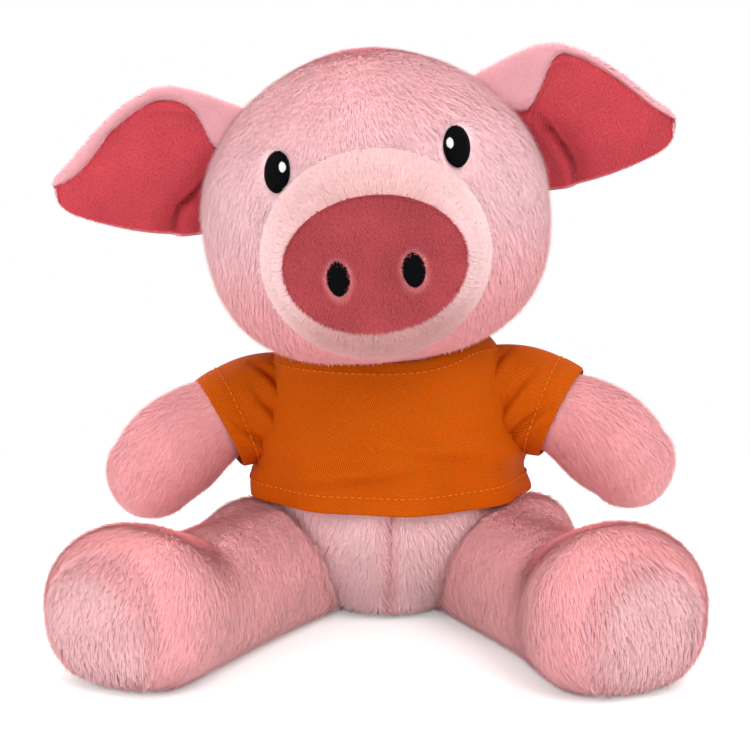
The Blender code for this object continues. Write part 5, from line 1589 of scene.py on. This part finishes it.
def build_sleeve(side):
    start, end = -0.1, CUFF
    rows, columns = 60, 150
    def drape(turn, share):
        s = (share - start) / (end - start)
        # Sharp creases run up from the armpit over the front, with a soft roll of cloth beside each
        around = math.atan2(math.sin(turn) * SIDES[side], -math.cos(turn))
        puff = 2.3 * math.sin(math.pi * s) ** 0.7
        for from_turn, from_s, to_turn, to_s in SLEEVE_CREASES[side]:
            start_at = np.array((from_turn * ARM_RADIUS, from_s * SLEEVE_LENGTH))
            way = np.array((to_turn * ARM_RADIUS, to_s * SLEEVE_LENGTH)) - start_at
            here = np.array((around * ARM_RADIUS, s * SLEEVE_LENGTH)) - start_at
            t = min(1.0, max(0.0, (here @ way) / (way @ way)))
            gap = here - way * t
            beside = math.copysign(float(np.linalg.norm(gap)), way[0] * gap[1] - way[1] * gap[0])
            ends = math.sin(math.pi * min(0.97, max(0.03, t))) ** 0.5
            puff -= 2.2 * math.exp(-((beside / (1.5 * MM)) ** 2)) * ends * (puff > 0.6)
            puff += 1.1 * math.exp(-(((beside - 3.4 * MM) / (2.6 * MM)) ** 2)) * ends
        return max(puff, -0.4) * MM
    rings, cloth = [], []
    for face in (1, -1):
        levels = np.linspace(0, 1, rows)
        for s in (levels if face == 1 else levels[::-1]):
            share = start + (end - start) * s
            half = KNIT / 2 * edge_round(s, 0.035, KNIT)
            hemmed = 0.3 * MM * float(smooth(0.80, 0.84, s))
            ring = [sleeve_point(side, turn, share, KNIT / 2 + face * half + drape(turn, share) + hemmed)
                    for turn in np.linspace(0, 2 * math.pi, columns, endpoint=False)]
            rings.append(ring)
            cloth += [(i / columns * SLEEVE_FLAT[0], s * SLEEVE_FLAT[1], face) for i in range(columns)]
    points = [point for ring in rings for point in ring]
    faces, uv = [], []
    total = len(rings)
    for row in range(total):
        a, b = row * columns, ((row + 1) % total) * columns
        for i in range(columns):
            j = (i + 1) % columns
            faces.append((a + i, a + j, b + j, b + i))
            uv += [(i / columns, row / total), ((i + 1) / columns, row / total),
                   ((i + 1) / columns, (row + 1) / total), (i / columns, (row + 1) / total)]
    item = face_outwards(mesh_object("sleeve_cloth_" + side, points, faces, uv))
    put(item, "cloth", np.array(cloth))
    item.data.materials.append(ORANGE_KNIT)
    share = start + (end - start) * CUFF_LEVEL
    run = [sleeve_point(side, turn, share, KNIT + 0.15 * MM + drape(turn, share))
           for turn in np.linspace(0, 2 * math.pi, 200)]
    stitches = stitch_row("sleeve_stitches_" + side, [run])
    near, far = shoulder(side), arm_point(side, CUFF)[0]
    for made in (item, stitches):
        tuple(near)
        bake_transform(made)
    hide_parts("shirt_sleeve_" + side)


build_shirt()
for each_side in SIDES:
    build_sleeve(each_side)


# Tail, closure and what is inside

def tail_point(share):
    knots = list(range(len(TAIL_ROUTE)))
    across, out, up = curve_value([np.array(point) for point in TAIL_ROUTE], knots, share * knots[-1])
    root = np.array((0.0, float(torso_sizes(TAIL_HEIGHT)[1]), TAIL_HEIGHT))
    return root + np.array((across * TAIL_CURL, out * TAIL_REACH, up * TAIL_CURL))


def build_tail():
    steps, facets = 110, 26
    centres = [tail_point(i / steps) for i in range(steps + 1)]
    across = np.array((1.0, 0.0, 0.0))
    rings, ways = [], []
    for i, centre in enumerate(centres):
        way = unit(centres[min(i + 1, steps)] - centres[max(i - 1, 0)])
        across = unit(across - way * (across @ way))
        radius = TAIL_RADIUS * (1 - (1 - TAIL_TIP) * i / steps)
        rings.append(oval_ring(centre, across, np.cross(way, across), radius, radius, facets))
        ways += [way] * facets
    for t in np.linspace(0.15, 0.95, 6):
        reach, size = math.sin(t * math.pi / 2), math.cos(t * math.pi / 2)
        up = np.cross(way, across)
        rings.append(oval_ring(centres[-1] + way * radius * reach, across, up, radius * size, radius * size,
                               facets))
        ways += [way] * facets
    skin = skin_over("tail_skin", rings)
    ways += [way, way]
    points, normals = points_of(skin), normals_of(skin)
    dress(skin, "tail_fur", "tail", ["tail"], "pink_pile", PINK_PILE, "tail", 51,
          along_surface(np.array(ways), normals), smooth(1.0, 1.02, in_torso(points)), PILE_LENGTH["tail"],
          rise=0.4, scatter=0.2)


CLOSURE_TAPE = knit_finish("closure_tape", (170, 72, 12), (232, 120, 40), 0.7 * MM, 0.7 * MM)


def build_closure():
    half = math.degrees(CLOSURE_WIDTH / 2 / (float(torso_sizes(hem_height())[0]) + HEM_EASE))
    margin = CLOSURE_MARGIN / SHIRT_LENGTH
    first = KNIT + SEAM_GAP
    for name, start in (("loop", first), ("hook", first + CLOSURE_CLOTH + SEAM_GAP)):
        def surface(u, v, lift, start=start):
            angle = 90 - half + 2 * half * u
            rise = margin + (1 - 2 * margin) * v
            return shirt_point(angle, rise, lift + start + shirt_drape(angle, rise))
        size = (CLOSURE_WIDTH, SHIRT_LENGTH - 2 * CLOSURE_MARGIN)
        item = cloth_piece(f"closure_{name}_tape", surface, 44, 16, size, CLOSURE_CLOTH, CLOSURE_TAPE)
        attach(item, "torso")
        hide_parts(f"closure_{name}_strip")


def fibre_group():
    """Loose white fibre: soft clouds with fine strands through them."""
    tree, given, out = new_group(
        "loose_fibre", "ShaderNodeTree",
        [("Shade", "Color", (0.7, 0.7, 0.68, 1)), ("Light", "Color", (0.95, 0.95, 0.93, 1)),
         ("Lumps", "Float", 260.0)],
        LOOK_OUTPUTS)
    place = make(tree, "ShaderNodeTexCoord").outputs["Object"]
    cloud = make(tree, "ShaderNodeTexNoise", {
        "Vector": place, "Scale": given["Lumps"], "Detail": 6.0, "Distortion": 1.2})
    wire(tree, mix_colour(tree, cloud.outputs["Fac"], given["Shade"], given["Light"]), out["Color"])
    roughen(tree, out, cloud.outputs["Fac"], 0.85, 1.0, cloud.outputs["Fac"], 0.8, 0.0008)
    return tree


def fibre_finish(name, shade, light, lumps):
    material, tree, shader = new_finish(name, 1.0)
    made = use_group(tree, LOOSE_FIBRE, {"Shade": colour(*shade), "Light": colour(*light), "Lumps": lumps})
    feed(tree, made, shader)
    return material


LOOSE_FIBRE = fibre_group()
FIBRE_FILL = fibre_finish("fibre_fill", (214, 214, 210), (250, 250, 247), 260.0)
PELLET_CLOTH = fibre_finish("pellet_cloth", (206, 200, 186), (236, 232, 220), 900.0)


def build_filling():
    """Each filling is its space's form with lumps pushed out of it."""
    fillings = [("head_stuffing", "head"), ("torso_stuffing", "torso"), ("pellet_bag", "torso")]
    fillings += [(f"{limb}_stuffing_{side}", f"{limb}_{side}") for limb in ("arm", "leg") for side in SIDES]
    for node, body in fillings:
        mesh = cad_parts[node].data.copy()
        name = node.replace("stuffing", "fibre") if "stuffing" in node else "pellet_pouch"
        item = add_object(name, mesh)
        mesh.materials.clear()
        smoother = item.modifiers.new("even", "REMESH")
        smoother.mode = "VOXEL"
        smoother.voxel_size = 2.4 * MM
        plain_mesh(item)
        points, normals = points_of(item), normals_of(item)
        lumps = np.sin(points[:, 0] * 310) * np.sin(points[:, 1] * 270 + 1) * np.sin(points[:, 2] * 290 + 2)
        set_points(item, points + normals * (lumps * 0.3 * MM)[:, None])
        item.data.shade_smooth()
        finish, slot = (PELLET_CLOTH, "pellet_cloth") if node == "pellet_bag" else (FIBRE_FILL, "fibre")
        item.data.materials.append(finish)
        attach(item, body)
        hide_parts(node)


build_tail()
build_closure()
build_filling()


# Camera, light and floor

def plain_light(name, place, size, energy):
    light = bpy.data.lights.new(name, "AREA")
    light.shape = "SQUARE"
    light.size = size
    light.energy = energy
    item = add_object(name, light)
    item.location = place
    item.rotation_euler = (Vector(LIT_POINT) - Vector(place)).to_track_quat("-Z", "Y").to_euler()


def build_stage():
    scene = bpy.context.scene
    camera = bpy.data.cameras.new("camera")
    camera.lens = CAMERA_LENS
    camera.sensor_width = CAMERA_SENSOR
    item = add_object("camera", camera)
    item.location = CAMERA_PLACE
    item.rotation_euler = (math.radians(CAMERA_TILT), 0.0, 0.0)
    scene.camera = item
    scene.view_settings.view_transform = "Standard"

    for name, place, size, energy in LIGHTS:
        plain_light(name, place, size, energy)

    world = bpy.data.worlds.new("studio")
    scene.world = world
    world.use_nodes = True
    tree = world.node_tree
    tree.nodes.clear()
    seen = make(tree, "ShaderNodeLightPath").outputs["Is Camera Ray"]
    soft = make(tree, "ShaderNodeBackground", {"Color": (1, 1, 1, 1), "Strength": WORLD_LIGHT})
    white = make(tree, "ShaderNodeBackground", {"Color": (1, 1, 1, 1), "Strength": 1.0})
    mixed = make(tree, "ShaderNodeMixShader", {0: seen, 1: soft.outputs[0], 2: white.outputs[0]})
    out = tree.nodes.new("ShaderNodeOutputWorld")
    wire(tree, mixed.outputs[0], out.inputs[0])

    floor = mesh_object("floor", [(-2, -2, 0), (2, -2, 0), (2, 2, 0), (-2, 2, 0)], [(0, 1, 2, 3)])
    material, tree, shader = new_finish("pale_floor", 0.9)
    place = make(tree, "ShaderNodeTexCoord").outputs["Object"]
    grain = make(tree, "ShaderNodeTexNoise", {"Vector": place, "Scale": 300.0})
    tint = mix_colour(tree, grain.outputs["Fac"], (0.86, 0.86, 0.86, 1), (0.9, 0.9, 0.9, 1))
    wire(tree, tint, shader.inputs["Base Color"])
    gap = make(tree, "ShaderNodeVectorMath", {0: place}, operation="LENGTH").outputs["Value"]
    far = make(tree, "ShaderNodeMapRange", {0: gap, 1: 0.16, 2: 0.34}, interpolation_type="SMOOTHSTEP")
    seen = make(tree, "ShaderNodeLightPath").outputs["Is Camera Ray"]
    glow = make(tree, "ShaderNodeEmission", {"Color": (1, 1, 1, 1), "Strength": 0.35})
    lifted = make(tree, "ShaderNodeAddShader", {0: shader.outputs[0], 1: glow.outputs[0]})
    pure = make(tree, "ShaderNodeEmission", {"Color": (1, 1, 1, 1), "Strength": 1.0})
    faded = make(tree, "ShaderNodeMixShader", {0: far.outputs[0], 1: lifted.outputs[0], 2: pure.outputs[0]})
    final = make(tree, "ShaderNodeMixShader", {0: seen, 1: shader.outputs[0], 2: faded.outputs[0]})
    wire(tree, final.outputs[0], tree.nodes["Material Output"].inputs["Surface"])
    floor.data.materials.append(material)


build_stage()
for spare in (FIBRE, STITCH):
    bpy.data.objects.remove(spare)
